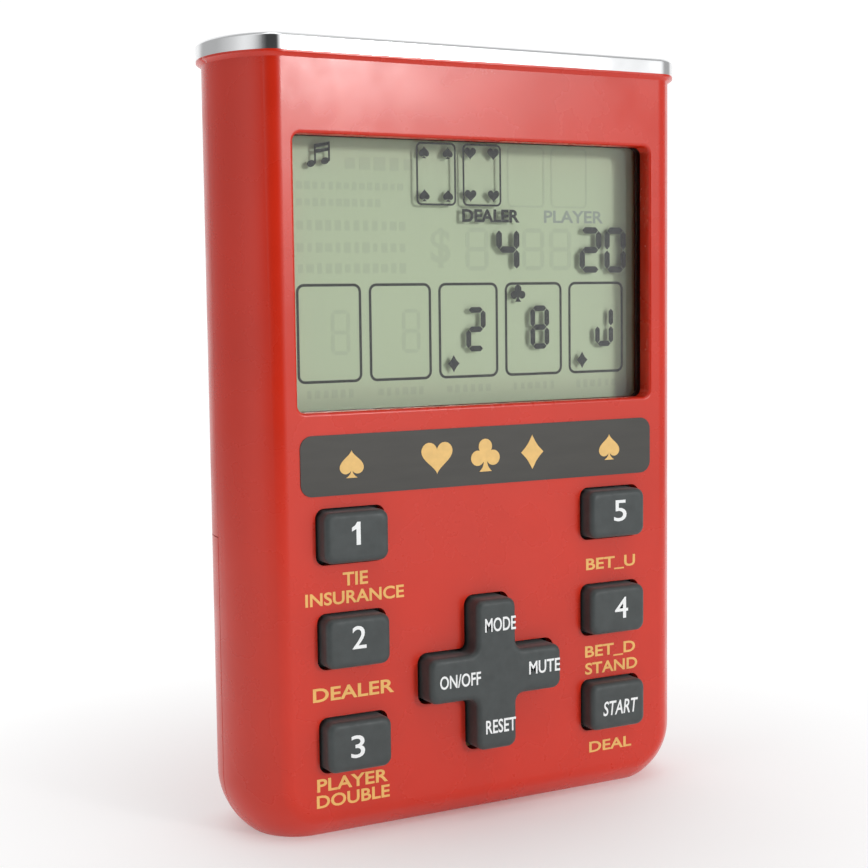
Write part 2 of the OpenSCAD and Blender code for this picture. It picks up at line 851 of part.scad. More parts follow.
// A block with round corners and a rounded front edge
module soft_block(w, h, r, edge, y0, y1) {
    hull()
        for (x = [-1, 1], z = [-1, 1])
            translate([x * (w / 2 - r), 0, z * (h / 2 - r)]) {
                post(0, 0, y0 + edge, y1, r);
                translate([0, y0 + edge, 0]) rotate([90, 0, 0]) rotate_extrude($fn = 32)
                    intersection() {
                        union() {
                            translate([r - edge, 0]) circle(r = edge, $fn = 24);
                            square([r - edge, edge]);
                        }
                        square([r, edge]);
                    }
            }
}

module key(i) {
    color([0.16, 0.17, 0.17])
    translate([key_x(i), 0, row_z[i % 3]]) {
        soft_block(key_w, key_h, key_r, key_edge_r, front_y - key_proud, key_flange_y + overlap);
        along_y(key_flange_y, key_under_y)
            slab(key_hole_w + 2 * key_flange_lap, key_hole_h + 2 * key_flange_lap, key_hole_r);
        post(0, 0, key_under_y - overlap, pill_y, key_stem_r);
    }
}

// Collapsing rubber wall between the web and a key
module dome(x, z, top_y, top_r) {
    color([0.2, 0.21, 0.21])
    translate([x, web_y, z]) rotate([90, 0, 0])
        difference() {
            cylinder(r1 = top_r + dome_spread, r2 = top_r, h = web_y - top_y);
            translate([0, 0, -hair])
                cylinder(r1 = top_r + dome_spread - dome_wall, r2 = top_r - dome_wall,
                    h = web_y - top_y + 2 * hair);
        }
}

module key_dome(i) {
    dome(key_x(i), row_z[i % 3], key_under_y, dome_top_r);
}

module key_pill(i) {
    color([0.06, 0.06, 0.06])
    post(key_x(i), row_z[i % 3], pill_y, pill_y + pill_t, key_pill_r);
}

module cross_key() {
    color([0.16, 0.17, 0.17])
    difference() {
        translate([0, 0, cross_z]) {
            soft_block(cross_l, cross_w, cross_tip_r, key_edge_r, front_y - cross_proud, cross_under_y);
            soft_block(cross_w, cross_l, cross_tip_r, key_edge_r, front_y - cross_proud, cross_under_y);
            along_y(front_y - cross_proud + key_edge_r, cross_under_y)
                cross_outline(cross_l, cross_w, cross_tip_r, cross_in_r + cross_gap);
            post(0, 0, cross_disc_y, cross_under_y, cross_disc_r);
            post(0, 0, cross_disc_y, pivot_y, collar_r);
            for (a = [0:90:270])
                post(cross_contact_x * cos(a), cross_contact_x * sin(a), cross_disc_y, cross_pill_y,
                    cross_stem_r);
        }
        translate([0, pivot_y, cross_z]) sphere(r = pivot_r + pivot_gap);
    }
}

module cross_pivot() {
    color([0.85, 0.85, 0.8])
    translate([0, pivot_y, cross_z]) sphere(r = pivot_r);
}

module cross_pills() {
    color([0.06, 0.06, 0.06])
    for (a = [0:90:270])
        post(cross_contact_x * cos(a), cross_z + cross_contact_x * sin(a),
            cross_pill_y, cross_pill_y + pill_t, cross_pill_r);
}

module cross_dome(a) {
    dome(cross_contact_x * cos(a), cross_z + cross_contact_x * sin(a), cross_under_y, cross_dome_r);
}

// Rubber web that lies on the board and carries every dome
module keypad_web() {
    web_half_w = key_col_x + key_hole_w / 2 + key_flange_lap;
    color([0.2, 0.21, 0.21])
    difference() {
        bar(-web_half_w, web_half_w, web_y, board_y,
            row_z[2] - key_hole_h / 2 + fit_gap, row_z[0] + key_hole_h / 2);
        for (i = [0:5])
            post(key_x(i), row_z[i % 3], -big, big, key_stem_r + round_gap);
        for (a = [0:90:270])
            post(cross_contact_x * cos(a), cross_z + cross_contact_x * sin(a), -big, big,
                cross_stem_r + round_gap);
        for (p = board_screw_at)
            post(p[0], p[1], -big, big, board_post_r + round_gap);
    }
}

// ---- Power ----

module battery(z, s) {
    x0 = -bay_l / 2 + plate_t + bump_h;
    color([0.55, 0.56, 0.58])
    translate([0, cell_y, z]) scale([s, 1, 1]) {
        translate([x0, 0, 0]) rotate([0, 90, 0]) cylinder(r = button_r, h = button_l + overlap);
        translate([x0 + button_l, 0, 0]) rotate([0, 90, 0]) cylinder(r = cell_r, h = battery_l - button_l);
    }
}

// Points of a conical spring's wire, along X
function spring_points(turns, steps, r0, r1, l) =
    [for (i = [0:turns * steps])
        let (t = i / (turns * steps), a = 360 * i / steps, r = r0 + (r1 - r0) * t)
        [l * t, r * cos(a), r * sin(a)]];

// A wire swept along points, with square-cut ends
module wire_sweep(points, r, sides, side = [0.8, 0.1, 0.6]) {
    n = len(points);
    tangents = [for (i = [0:n - 1])
        let (d = points[min(i + 1, n - 1)] - points[max(i - 1, 0)]) d / norm(d)];
    rings = [for (i = [0:n - 1])
        let (t = tangents[i], u0 = cross(t, side), u = u0 / norm(u0), v = cross(t, u))
        for (k = [0:sides - 1])
            points[i] + r * (cos(360 * k / sides) * u + sin(360 * k / sides) * v)];
    faces = concat(
        [[for (k = [0:sides - 1]) k]],
        [for (i = [0:n - 2], k = [0:sides - 1])
            [i * sides + k, (i + 1) * sides + k,
                (i + 1) * sides + (k + 1) % sides, i * sides + (k + 1) % sides]],
        [[for (k = [sides - 1:-1:0]) (n - 1) * sides + k]]);
    polyhedron(rings, faces, convexity = 6);
}

module contact_spring(z, s) {
    wire = 0.3;
    sink = 0.2 * wire;
    turns = 3;
    steps = 12;
    base_r = 3.4;
    tip_r = 2.2;
    rise = spring_h - 1.9 * wire;
    scale([s, 1, 1]) translate([bay_l / 2 - plate_t, cell_y, z]) scale([-1, 1, 1])
        translate([wire - sink, 0, 0])
            wire_sweep(spring_points(turns, steps, base_r, tip_r, rise), wire, wire_sides);
}

module contact_plate(s, z0, z1) {
    scale([s, 1, 1])
        bar(bay_l / 2 - plate_t, bay_l / 2, bay_y + plate_inset, cell_y + plate_reach, z0, z1);
}

module contact_bump(z, s) {
    tip_r = button_r - 0.4;
    foot_r = button_r + 0.5;
    scale([s, 1, 1]) translate([bay_l / 2 - plate_t - bump_h, cell_y, z]) rotate([0, 90, 0])
        cylinder(r1 = tip_r, r2 = foot_r, h = bump_h + overlap);
}

module solder_tail(z) {
    bar(bay_l / 2 - plate_t / 2, bay_out_x + tail_out, tail_y - tail_t / 2, tail_y + tail_t / 2,
        z - tail_h / 2, z + tail_h / 2);
}

// Plate that joins the two batteries in series
module battery_link() {
    color([0.8, 0.8, 0.78])
    union() {
        contact_plate(-1, bay_z + plate_inset, bay_top - plate_inset);
        contact_bump(upper_cell_z, -1);
        contact_spring(lower_cell_z, -1);
    }
}

module plus_terminal() {
    color([0.8, 0.8, 0.78])
    union() {
        contact_plate(1, bay_z + plate_inset, lower_cell_z + cell_r - plate_gap);
        contact_bump(lower_cell_z, 1);
        solder_tail(lower_cell_z);
    }
}

module minus_terminal() {
    color([0.8, 0.8, 0.78])
    union() {
        contact_plate(1, upper_cell_z - cell_r + plate_gap, bay_top - plate_inset);
        contact_spring(upper_cell_z, 1);
        solder_tail(upper_cell_z);
    }
}

// ---- Sounder and wires ----

module sounder_disc() {
    color([0.8, 0.65, 0.3])
    post(0, sounder_z, inner_back - sounder_t, inner_back, sounder_r);
}

module sounder_ceramic() {
    color([0.9, 0.9, 0.88])
    post(0, sounder_z, inner_back - 2 * sounder_t, inner_back - sounder_t, ceramic_r);
}

// A point of a smooth curve through a, b, c and d, between b and c
function curve_point(a, b, c, d, t) =
    0.5 * (2 * b + (c - a) * t + (2 * a - 5 * b + 4 * c - d) * t * t + (3 * b - a - 3 * c + d) * t * t * t);

// A thin insulated wire on a smooth curve through the given points
module lead(points) {
    n = len(points);
    steps = 5;
    path = [for (i = [0:n - 2], k = [0:steps - (i < n - 2 ? 1 : 0)])
        curve_point(points[max(i - 1, 0)], points[i], points[i + 1], points[min(i + 2, n - 1)], k / steps)];
    wire_sweep(path, wire_r, wire_sides);
}

// Points of a battery wire: out of its solder tail, up beside the bay and on to the board
function battery_wire(z, out, land_x, land_z) =
    let (x = bay_out_x + tail_out + wire_end, y = tail_y)
    [[x, y, z], [x + 0.6, y, z], [x + out, y, z + 2], [x + out, y - 0.4, (z + shelf_z) / 2],
        [x + out, board_back + 2, shelf_z - 1], [x + out - 1.8, board_back + 2.2, land_z - 2.5],
        [land_x, board_back + wire_bend, land_z], [land_x, board_back + wire_drop, land_z],
        [land_x, board_back + wire_end, land_z]];

module plus_wire() {
    color([0.75, 0.08, 0.06])
    lead(battery_wire(lower_cell_z, 3.2, 18, shelf_z + 8.5));
}

module minus_wire() {
    color([0.04, 0.04, 0.04])
    lead(battery_wire(upper_cell_z, 1.6, 22, shelf_z + 6));
}

module sounder_wires() {
    lift = wire_end + wire_r;
    color([0.75, 0.7, 0.1])
    union() {
        // Each: start beside the disc's middle, depth of the layer it lands on, end beside the
        // disc's middle and height of that end above it
        for (w = [[-3, 2 * sounder_t, -16, 13], [8.4, sounder_t, -12, 17]])
            lead([[w[0], inner_back - w[1] - lift, sounder_z], [w[0] - 2, inner_back - w[1] - lift - 0.6, sounder_z + 1],
                [(w[0] + w[2]) / 2, 3, sounder_z + w[3] / 2],
                [w[2], board_back + wire_bend, sounder_z + w[3]],
                [w[2], board_back + wire_drop, sounder_z + w[3]],
                [w[2], board_back + wire_end, sounder_z + w[3]]]);
    }
}

front_cover();
back_cover();
battery_door();
top_cap();
name_label();
window_lens();
lens_gasket();
front_film();
front_glass();
rear_glass();
reflector_film();
display_pad();
zebra_strip();
circuit_board();
contact_pads();
chip_blob();
clock_crystal();
capacitor_cans();
resistors();
board_screws();
case_screws();
keypad_web();
key(0);  // key_1
key(1);  // key_2
key(2);  // key_3
key(3);  // key_5
key(4);  // key_4
key(5);  // key_start
key_dome(0);  // dome_1
key_dome(1);  // dome_2
key_dome(2);  // dome_3
key_dome(3);  // dome_5
key_dome(4);  // dome_4
key_dome(5);  // dome_start
key_pill(0);  // pill_1
key_pill(1);  // pill_2
key_pill(2);  // pill_3
key_pill(3);  // pill_5
key_pill(4);  // pill_4
key_pill(5);  // pill_start
cross_key();
cross_pivot();
cross_pills();
cross_dome(0);  // cross_dome_right
cross_dome(90);  // cross_dome_up
cross_dome(180);  // cross_dome_left
cross_dome(270);  // cross_dome_down
battery(upper_cell_z, 1);  // battery_upper
battery(lower_cell_z, -1);  // battery_lower
battery_link();
plus_terminal();
minus_terminal();
sounder_disc();
sounder_ceramic();
plus_wire();
minus_wire();
sounder_wires();
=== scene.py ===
# %% [markdown]
# # A pocket card game with a liquid crystal display
# The game is a small upright box: a red moulded case in two halves, a bright plated cap, a
# window with a liquid crystal display, six rubber keys and a cross key that rocks. This lesson
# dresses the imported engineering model. Everything is in metres and in the model's own frame, so
# no piece is ever placed by eye: its position is read from the model's nodes.

# %% Load the engineering model
import json
import math

import bmesh
import bpy
from mathutils import Matrix, Vector
from mathutils.geometry import tessellate_polygon


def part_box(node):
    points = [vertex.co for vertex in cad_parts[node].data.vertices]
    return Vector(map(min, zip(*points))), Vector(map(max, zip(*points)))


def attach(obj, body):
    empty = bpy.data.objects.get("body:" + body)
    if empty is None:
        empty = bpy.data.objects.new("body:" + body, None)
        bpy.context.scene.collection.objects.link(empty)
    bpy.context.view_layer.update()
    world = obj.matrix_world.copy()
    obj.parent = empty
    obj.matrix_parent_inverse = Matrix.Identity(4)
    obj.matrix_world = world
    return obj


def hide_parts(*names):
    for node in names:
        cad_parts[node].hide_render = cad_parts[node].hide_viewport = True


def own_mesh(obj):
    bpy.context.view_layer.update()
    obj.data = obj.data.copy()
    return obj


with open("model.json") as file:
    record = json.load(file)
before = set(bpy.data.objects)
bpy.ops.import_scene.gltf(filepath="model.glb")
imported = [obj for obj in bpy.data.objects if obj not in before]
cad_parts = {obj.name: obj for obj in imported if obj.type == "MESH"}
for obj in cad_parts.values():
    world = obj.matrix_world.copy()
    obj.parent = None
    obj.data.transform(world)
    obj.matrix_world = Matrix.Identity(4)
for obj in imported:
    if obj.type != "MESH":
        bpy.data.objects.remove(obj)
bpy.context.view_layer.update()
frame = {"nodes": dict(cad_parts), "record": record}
MM = 0.001

# %% [markdown]
# The levels from front to back are read from the nodes. The front of the game looks towards -Y,
# so a smaller Y is nearer to the player.

# %% Levels that the pieces share
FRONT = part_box("name_label")[1].y
WINDOW_LOW, WINDOW_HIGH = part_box("lens_gasket")
FILM_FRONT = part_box("front_film")[0].y
CELL_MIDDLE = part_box("rear_glass")[0].y
REFLECTOR_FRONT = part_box("reflector_film")[0].y
LABEL_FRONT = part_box("name_label")[0].y
WALL = 2 * MM
print("front face at", round(FRONT / MM, 2), "mm, display at", round(REFLECTOR_FRONT / MM, 2), "mm")

# %% [markdown]
# ## Camera
# A portrait lens stands a quarter of a metre away, to the left of the game and a little below
# its top, so the left side wall shows and the upright edges converge slightly.

# %% Camera
CAMERA_AT = Vector((-119.64, -217.9, 78.34)) * MM
CAMERA_YAW, CAMERA_PITCH, CAMERA_ROLL = math.radians(28.224), math.radians(-4.925), math.radians(-0.694)
CAMERA_LENS = 66.71

camera_data = bpy.data.cameras.new("portrait_camera")
camera_data.lens = CAMERA_LENS
camera_data.clip_start = 0.01
camera = bpy.data.objects.new("portrait_camera", camera_data)
bpy.context.scene.collection.objects.link(camera)
camera.matrix_world = (
    Matrix.Translation(CAMERA_AT)
    @ Matrix.Rotation(-CAMERA_YAW, 4, "Z")
    @ Matrix.Rotation(math.radians(90) + CAMERA_PITCH, 4, "X")
    @ Matrix.Rotation(CAMERA_ROLL, 4, "Z")
)
bpy.context.scene.camera = camera
print("camera distance:", round(CAMERA_AT.length, 3), "m")

# %% [markdown]
# ## Helpers for node trees
# Every finish below is a small node tree on Object coordinates. A few helpers keep the trees
# short: `add` makes a node and sets its values, `noise` builds a cloud, `between` and `two_tones`
# turn a factor into a number or a colour, `blend` mixes two colours, and `bump` raises a grain.


# %% Node helpers
def add(tree, kind, **values):
    """A node of this kind, with its properties or input sockets set by name."""
    node = tree.nodes.new(kind)
    for name, value in values.items():
        if hasattr(node, name):
            setattr(node, name, value)
        else:
            node.inputs[name.replace("_", " ")].default_value = value
    return node


def noise(tree, scale, detail=3.0, stretch=(1, 1, 1)):
    """Output socket of a noise that reads Object coordinates; scale is in patches per metre."""
    place = add(tree, "ShaderNodeTexCoord")
    turn = add(tree, "ShaderNodeMapping", Scale=stretch)
    cloud = add(tree, "ShaderNodeTexNoise", Scale=scale, Detail=detail)
    tree.links.new(place.outputs["Object"], turn.inputs["Vector"])
    tree.links.new(turn.outputs["Vector"], cloud.inputs["Vector"])
    return cloud.outputs["Fac"]


def between(tree, factor, low, high, start=0.3, stop=0.7):
    """Turns a factor into a number from low to high."""
    span = add(tree, "ShaderNodeMapRange", From_Min=start, From_Max=stop, To_Min=low, To_Max=high)
    tree.links.new(factor, span.inputs["Value"])
    return span.outputs["Result"]


def two_tones(tree, factor, dark, light, start=0.3, stop=0.7):
    """Turns a factor into a colour from dark to light."""
    ramp = add(tree, "ShaderNodeValToRGB")
    ramp.color_ramp.elements[0].position, ramp.color_ramp.elements[1].position = start, stop
    ramp.color_ramp.elements[0].color = (*dark, 1)
    ramp.color_ramp.elements[1].color = (*light, 1)
    tree.links.new(factor, ramp.inputs["Fac"])
    return ramp.outputs["Color"]


def blend(tree, factor, first, second, **values):
    """A mix of two colours; factor and both colours are plain values or output sockets."""
    node = add(tree, "ShaderNodeMix", data_type="RGBA", **values)
    for number, given in ((0, factor), (6, first), (7, second)):
        if isinstance(given, bpy.types.NodeSocket):
            tree.links.new(given, node.inputs[number])
        else:
            node.inputs[number].default_value = given
    return node.outputs[2]


def bump(tree, height, depth):
    """Output socket of a bump of this depth in metres."""
    node = add(tree, "ShaderNodeBump", Strength=1.0, Distance=depth)
    tree.links.new(height, node.inputs["Height"])
    return node.outputs["Normal"]


# %% [markdown]
# ## Finishes
# Moulded plastic is never one flat colour. The pigment is a little cloudy, the gloss varies
# where the mould was warmer, and the mould's spark-eroded skin leaves a fine grain. One function
# makes this for every material, and the numbers say how strong each effect is.


# %% A finish with cloudy pigment, uneven gloss and a grain
SHEEN_ROUGH = 0.4


def finish(name, colour, rough, metal=0.0, tone=0.06, patch=90, wear=0.05, grain=5000,
           grain_depth=0.004, stretch=(1, 1, 1), sheen=0.0):
    """colour is linear RGB; patch and grain are per metre; grain_depth is in millimetres."""
    material = bpy.data.materials.new(name)
    material.use_nodes = True
    tree = material.node_tree
    shader = tree.nodes["Principled BSDF"]
    shader.inputs["Metallic"].default_value = metal
    shader.inputs["Sheen Weight"].default_value = sheen
    shader.inputs["Sheen Roughness"].default_value = SHEEN_ROUGH
    cloud = noise(tree, patch, 4.0, stretch)
    dark = [c * (1 - tone) for c in colour]
    light = [min(1, c * (1 + tone)) for c in colour]
    tree.links.new(two_tones(tree, cloud, dark, light), shader.inputs["Base Color"])
    gloss = noise(tree, patch * 2.3, 5.0, stretch)
    tree.links.new(between(tree, gloss, rough - wear, rough + wear), shader.inputs["Roughness"])
    skin = noise(tree, grain, 2.0, stretch)
    tree.links.new(bump(tree, skin, grain_depth * MM), shader.inputs["Normal"])
    return material


RED = finish("red_moulded_plastic", (0.62, 0.024, 0.006), 0.27, tone=0.05, patch=60, wear=0.05,
             grain=6000, grain_depth=0.003)
CHROME = finish("plated_cap", (0.80, 0.81, 0.82), 0.16, metal=1.0, tone=0.02, wear=0.05,
                grain=900, grain_depth=0.002)
KEY_RUBBER = finish("key_silicone", (0.043, 0.052, 0.052), 0.52, tone=0.12, patch=500, wear=0.08,
                    grain=9000, grain_depth=0.005, sheen=0.15)
LABEL_FILM = finish("label_film", (0.042, 0.040, 0.034), 0.42, tone=0.10, patch=700, wear=0.06,
                    grain=12000, grain_depth=0.003, stretch=(0.15, 1, 1))
GOLD_INK = finish("gold_ink", (0.88, 0.50, 0.14), 0.5, tone=0.05, patch=900, grain=9000,
                  grain_depth=0.002)
GOLD_FOIL = finish("gold_foil", (0.82, 0.52, 0.17), 0.45, tone=0.06, patch=900, grain=9000,
                   grain_depth=0.002)
WHITE_INK = finish("white_ink", (0.88, 0.90, 0.90), 0.5, tone=0.03, patch=900, grain=9000,
                   grain_depth=0.002)
print("finishes so far:", len(bpy.data.materials))

# %% [markdown]
# The small parts inside the case are seldom seen, but each still has its own finish. A table
# gives the colour, roughness and metalness; wires, foams and metals need nothing more.

# %% Finishes of the inner parts
INNER_FINISHES = {
    "black_foam": finish("gasket_foam", (0.012, 0.012, 0.012), 0.9, tone=0.3, patch=1500,
                         grain=3000, grain_depth=0.05),
    "white_foam": finish("pad_foam", (0.80, 0.80, 0.77), 0.9, tone=0.08, patch=1500, grain=3000,
                         grain_depth=0.05),
    "carbon": finish("carbon_ink", (0.012, 0.012, 0.013), 0.7, tone=0.2, patch=2500, grain=6000,
                     grain_depth=0.01),
    "chip_resin": finish("potting_resin", (0.008, 0.008, 0.009), 0.22, tone=0.1, patch=300,
                         grain=900, grain_depth=0.02),
    "crystal_can": finish("drawn_can", (0.66, 0.67, 0.69), 0.3, metal=1.0, patch=1500,
                          stretch=(0.05, 1, 1), grain_depth=0.004),
    "capacitor_sleeve": finish("shrink_sleeve", (0.02, 0.03, 0.13), 0.35, patch=600),
    "screw_steel": finish("zinc_plate", (0.62, 0.62, 0.63), 0.34, metal=1.0, patch=1200, wear=0.1),
    "pivot_plastic": finish("acetal", (0.74, 0.74, 0.69), 0.45, patch=400),
    "contact_metal": finish("nickel_plate", (0.70, 0.69, 0.66), 0.28, metal=1.0, patch=900, wear=0.1),
    "sounder_brass": finish("rolled_brass", (0.78, 0.58, 0.25), 0.32, metal=1.0, patch=700,
                            stretch=(0.06, 1, 1)),
    "sounder_ceramic": finish("silvered_ceramic", (0.80, 0.80, 0.76), 0.6, patch=600),
    "wire_red": finish("red_vinyl", (0.55, 0.02, 0.015), 0.4, patch=900),
    "wire_black": finish("black_vinyl", (0.015, 0.015, 0.015), 0.4, patch=900),
    "wire_yellow": finish("yellow_vinyl", (0.62, 0.48, 0.04), 0.4, patch=900),
    "key_rubber": KEY_RUBBER,
    "red_plastic": RED,
    "chrome_cap": CHROME,
    "label": LABEL_FILM,
}
print("inner finishes:", len(INNER_FINISHES))

# %% [markdown]
# Four inner parts carry a pattern. The circuit board is brown laminate with a fibre, the
# resistors have painted bands, the rubber strip under the glass is layered in stripes of
# conductor and insulator, and the batteries wear a printed jacket with a coloured end.


# %% Finishes with stripes and bands
def striped(name, first, second, period, axis, share=0.5, rough=0.5):
    """Stripes of two colours that repeat along one axis; share is the first colour's part."""
    material = finish(name, first, rough)
    tree = material.node_tree
    shader = tree.nodes["Principled BSDF"]
    place = add(tree, "ShaderNodeTexCoord")
    parts = add(tree, "ShaderNodeSeparateXYZ")
    tree.links.new(place.outputs["Object"], parts.inputs["Vector"])
    wrap = add(tree, "ShaderNodeMath", operation="PINGPONG")
    wrap.inputs[1].default_value = period / 2
    tree.links.new(parts.outputs[axis], wrap.inputs[0])
    edge = period / 2 * share
    mask = between(tree, wrap.outputs[0], 0, 1, edge * 0.9, edge * 1.1)
    cloudy = shader.inputs["Base Color"].links[0].from_socket
    tree.links.new(blend(tree, mask, cloudy, (*second, 1)), shader.inputs["Base Color"])
    return material


INNER_FINISHES["circuit_board"] = striped("phenolic_board", (0.30, 0.17, 0.06), (0.36, 0.22, 0.08),
                                          0.9 * MM, "X", rough=0.55)
INNER_FINISHES["resistor_body"] = striped("banded_resistor", (0.62, 0.45, 0.24), (0.25, 0.07, 0.03),
                                          0.9 * MM, "X", share=0.6, rough=0.4)
INNER_FINISHES["conductive_rubber"] = striped("layered_rubber", (0.66, 0.38, 0.40), (0.02, 0.02, 0.02),
                                              0.18 * MM, "X", rough=0.7)
INNER_FINISHES["battery_jacket"] = striped("battery_jacket", (0.055, 0.060, 0.065), (0.70, 0.48, 0.18),
                                           60 * MM, "X", share=0.55, rough=0.3)
print("patterned finishes: 4")

# %% [markdown]
# ## Display finishes
# The reflector behind the glass is a grey-green film with a very fine sparkle. The glass and the
# lens have to let light through both ways, so that the segments throw real shadows on the
# reflector. Refraction would block those shadows, so clear parts mix a Transparent shader with
# a Glossy one by Fresnel.


# %% Display finishes
def clear(name, tint, ior):
    """A clear part: see-through, with a mirror reflection that grows at grazing angles."""
    material = bpy.data.materials.new(name)
    material.use_nodes = True
    tree = material.node_tree
    tree.nodes.remove(tree.nodes["Principled BSDF"])
    through = add(tree, "ShaderNodeBsdfTransparent", Color=(*tint, 1))
    mirror = add(tree, "ShaderNodeBsdfGlossy")
    smear = noise(tree, 45, 4.0)
    tree.links.new(between(tree, smear, 0.02, 0.10), mirror.inputs["Roughness"])
    edge = add(tree, "ShaderNodeFresnel", IOR=ior)
    mix = add(tree, "ShaderNodeMixShader")
    tree.links.new(edge.outputs["Fac"], mix.inputs[0])
    tree.links.new(through.outputs["BSDF"], mix.inputs[1])
    tree.links.new(mirror.outputs["BSDF"], mix.inputs[2])
    tree.links.new(mix.outputs["Shader"], tree.nodes["Material Output"].inputs["Surface"])
    return material


LENS_CLEAR = clear("acrylic_lens", (0.99, 0.995, 0.99), 1.42)
CELL_GLASS = clear("display_glass", (0.96, 0.98, 0.95), 1.15)
REFLECTOR = finish("grey_green_reflector", (0.68, 0.76, 0.55), 0.55, tone=0.03, patch=14000,
                   wear=0.03, grain=16000, grain_depth=0.006)
SEGMENT = finish("dark_segment", (0.008, 0.012, 0.018), 0.7, tone=0.08, patch=900)
CARD_INK = finish("card_outline_ink", (0.010, 0.016, 0.012), 0.7, tone=0.08, patch=900)
DARK_GHOST = finish("resting_segment_dark", (0.41, 0.46, 0.42), 0.55, tone=0.03, patch=14000)
GHOST = finish("resting_segment", (0.615, 0.69, 0.505), 0.55, tone=0.03, patch=14000)
INNER_FINISHES["display_reflector"] = REFLECTOR
INNER_FINISHES["display_glass"] = CELL_GLASS
INNER_FINISHES["display_film"] = CELL_GLASS
INNER_FINISHES["clear_lens"] = LENS_CLEAR
print("display finishes: 7")

# %% [markdown]
# ## Making pieces
# A few short functions turn points into closed meshes. `piece` gives a mesh its finish and hands
# it to the model: the body that it rides on and the engineering nodes that it replaces.


# %% Mesh helpers
SMOOTH = 32


def piece(name, bm, material, body="case", replaces=(), smooth=SMOOTH):
    """Makes the object of a bmesh, smooth up to an angle in degrees, and lets it ride on a body."""
    mesh = bpy.data.meshes.new(name)
    bm.to_mesh(mesh)
    bm.free()
    mesh.materials.clear()
    mesh.materials.append(material)
    for face in mesh.polygons:
        face.use_smooth = True
        face.material_index = 0
    mesh.set_sharp_from_angle(angle=math.radians(smooth))
    obj = bpy.data.objects.new(name, mesh)
    bpy.context.scene.collection.objects.link(obj)
    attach(obj, body)
    if replaces:
        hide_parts(*replaces)
    return obj


def bake_modifiers(obj):
    """Replaces an object's mesh by its evaluated one and drops the modifiers."""
    graph = bpy.context.evaluated_depsgraph_get()
    mesh = bpy.data.meshes.new_from_object(obj.evaluated_get(graph))
    obj.modifiers.clear()
    obj.data = mesh
    return mesh


def loft(bm, rings):
    """Joins rings of points, all of the same count, into a closed skin with flat ends."""
    loops = [[bm.verts.new(p) for p in ring] for ring in rings]
    count = len(loops[0])
    for a, b in zip(loops, loops[1:]):
        for i in range(count):
            j = (i + 1) % count
            bm.faces.new((a[i], a[j], b[j], b[i]))
    for loop, ring in ((loops[0], rings[0]), (loops[-1], rings[-1])):
        for three in tessellate_polygon([[Vector(p) / MM for p in ring]]):
            bm.faces.new([loop[i] for i in three])


def prism(bm, outline, front, back):
    """A flat slip of the outline, which is a list of (x, z), between two levels of Y."""
    loft(bm, [[(x, front, z) for x, z in outline], [(x, back, z) for x, z in outline]])


def tidy_normals(bm):
    bmesh.ops.recalc_face_normals(bm, faces=bm.faces)


def arc(x, z, radius, start, stop, steps):
    """Points (x, z) on an arc, angles in degrees."""
    turns = [math.radians(start + (stop - start) * i / steps) for i in range(steps + 1)]
    return [(x + radius * math.cos(t), z + radius * math.sin(t)) for t in turns]


def rounded_box(width, height, radius, x=0.0, z=0.0, steps=6):
    """Outline of a rectangle with round corners, centred on (x, z)."""
    points = []
    for turn, (sx, sz) in zip((0, 90, 180, 270), ((1, 1), (-1, 1), (-1, -1), (1, -1))):
        points += arc(x + sx * (width / 2 - radius), z + sz * (height / 2 - radius), radius,
                      turn, turn + 90, steps)
    return points


print("mesh helpers ready")

# %% [markdown]
# ## Case, door and cap
# The engineering model has the true shapes of the shells, down to the bulge of the sides, but
# every rim is razor sharp. Real mouldings have a small radius there, and the light that it
# catches is what makes a part look solid. So each shell is a merged copy of its node, and only
# the rims that show get a narrow bevel. The outer skin then gets its exact normals, worked out
# from the radii of its edges, so flat faces shade flat and round ones show no facets.


# %% Shells with rounded rims
MERGE = 0.002 * MM
FLAT_ANGLE = math.radians(0.3)
RIM_ANGLE = math.radians(30)


def soft_shell(node, rims):
    """A copy of a CAD node; each rim is (test on an edge's two ends, width of its bevel)."""
    bm = bmesh.new()
    bm.from_mesh(frame["nodes"][node].data)
    bmesh.ops.remove_doubles(bm, verts=bm.verts, dist=MERGE)
    bmesh.ops.dissolve_limit(bm, angle_limit=FLAT_ANGLE, verts=bm.verts, edges=bm.edges,
                             use_dissolve_boundaries=False)
    for on_rim, width in rims:
        edges = [e for e in bm.edges
                 if len(e.link_faces) == 2
                 and all(on_rim(v.co) for v in e.verts)
                 and e.calc_face_angle() > RIM_ANGLE]
        bmesh.ops.bevel(bm, geom=edges, offset=width, offset_type="OFFSET", segments=3,
                        profile=0.5, affect="EDGES", clamp_overlap=True)
        print(node, "rim edges:", len(edges))
    return bm


SAME_SIDE = math.cos(math.radians(35))
EDGE_R, BULGE_R, CORNER_R, BASE_CUT = 3 * MM, 13.7 * MM, 11 * MM, 2.2 * MM
HALF_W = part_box("battery_door")[1].x
EDGE_Y = -FRONT - EDGE_R
BULGE_X = HALF_W - BULGE_R
EDGE_X = BULGE_X + math.sqrt((BULGE_R - EDGE_R) ** 2 - EDGE_Y ** 2)
CORNER_X, CORNER_Z = HALF_W - CORNER_R, CORNER_R - BASE_CUT
ON_SKIN = 0.02 * MM


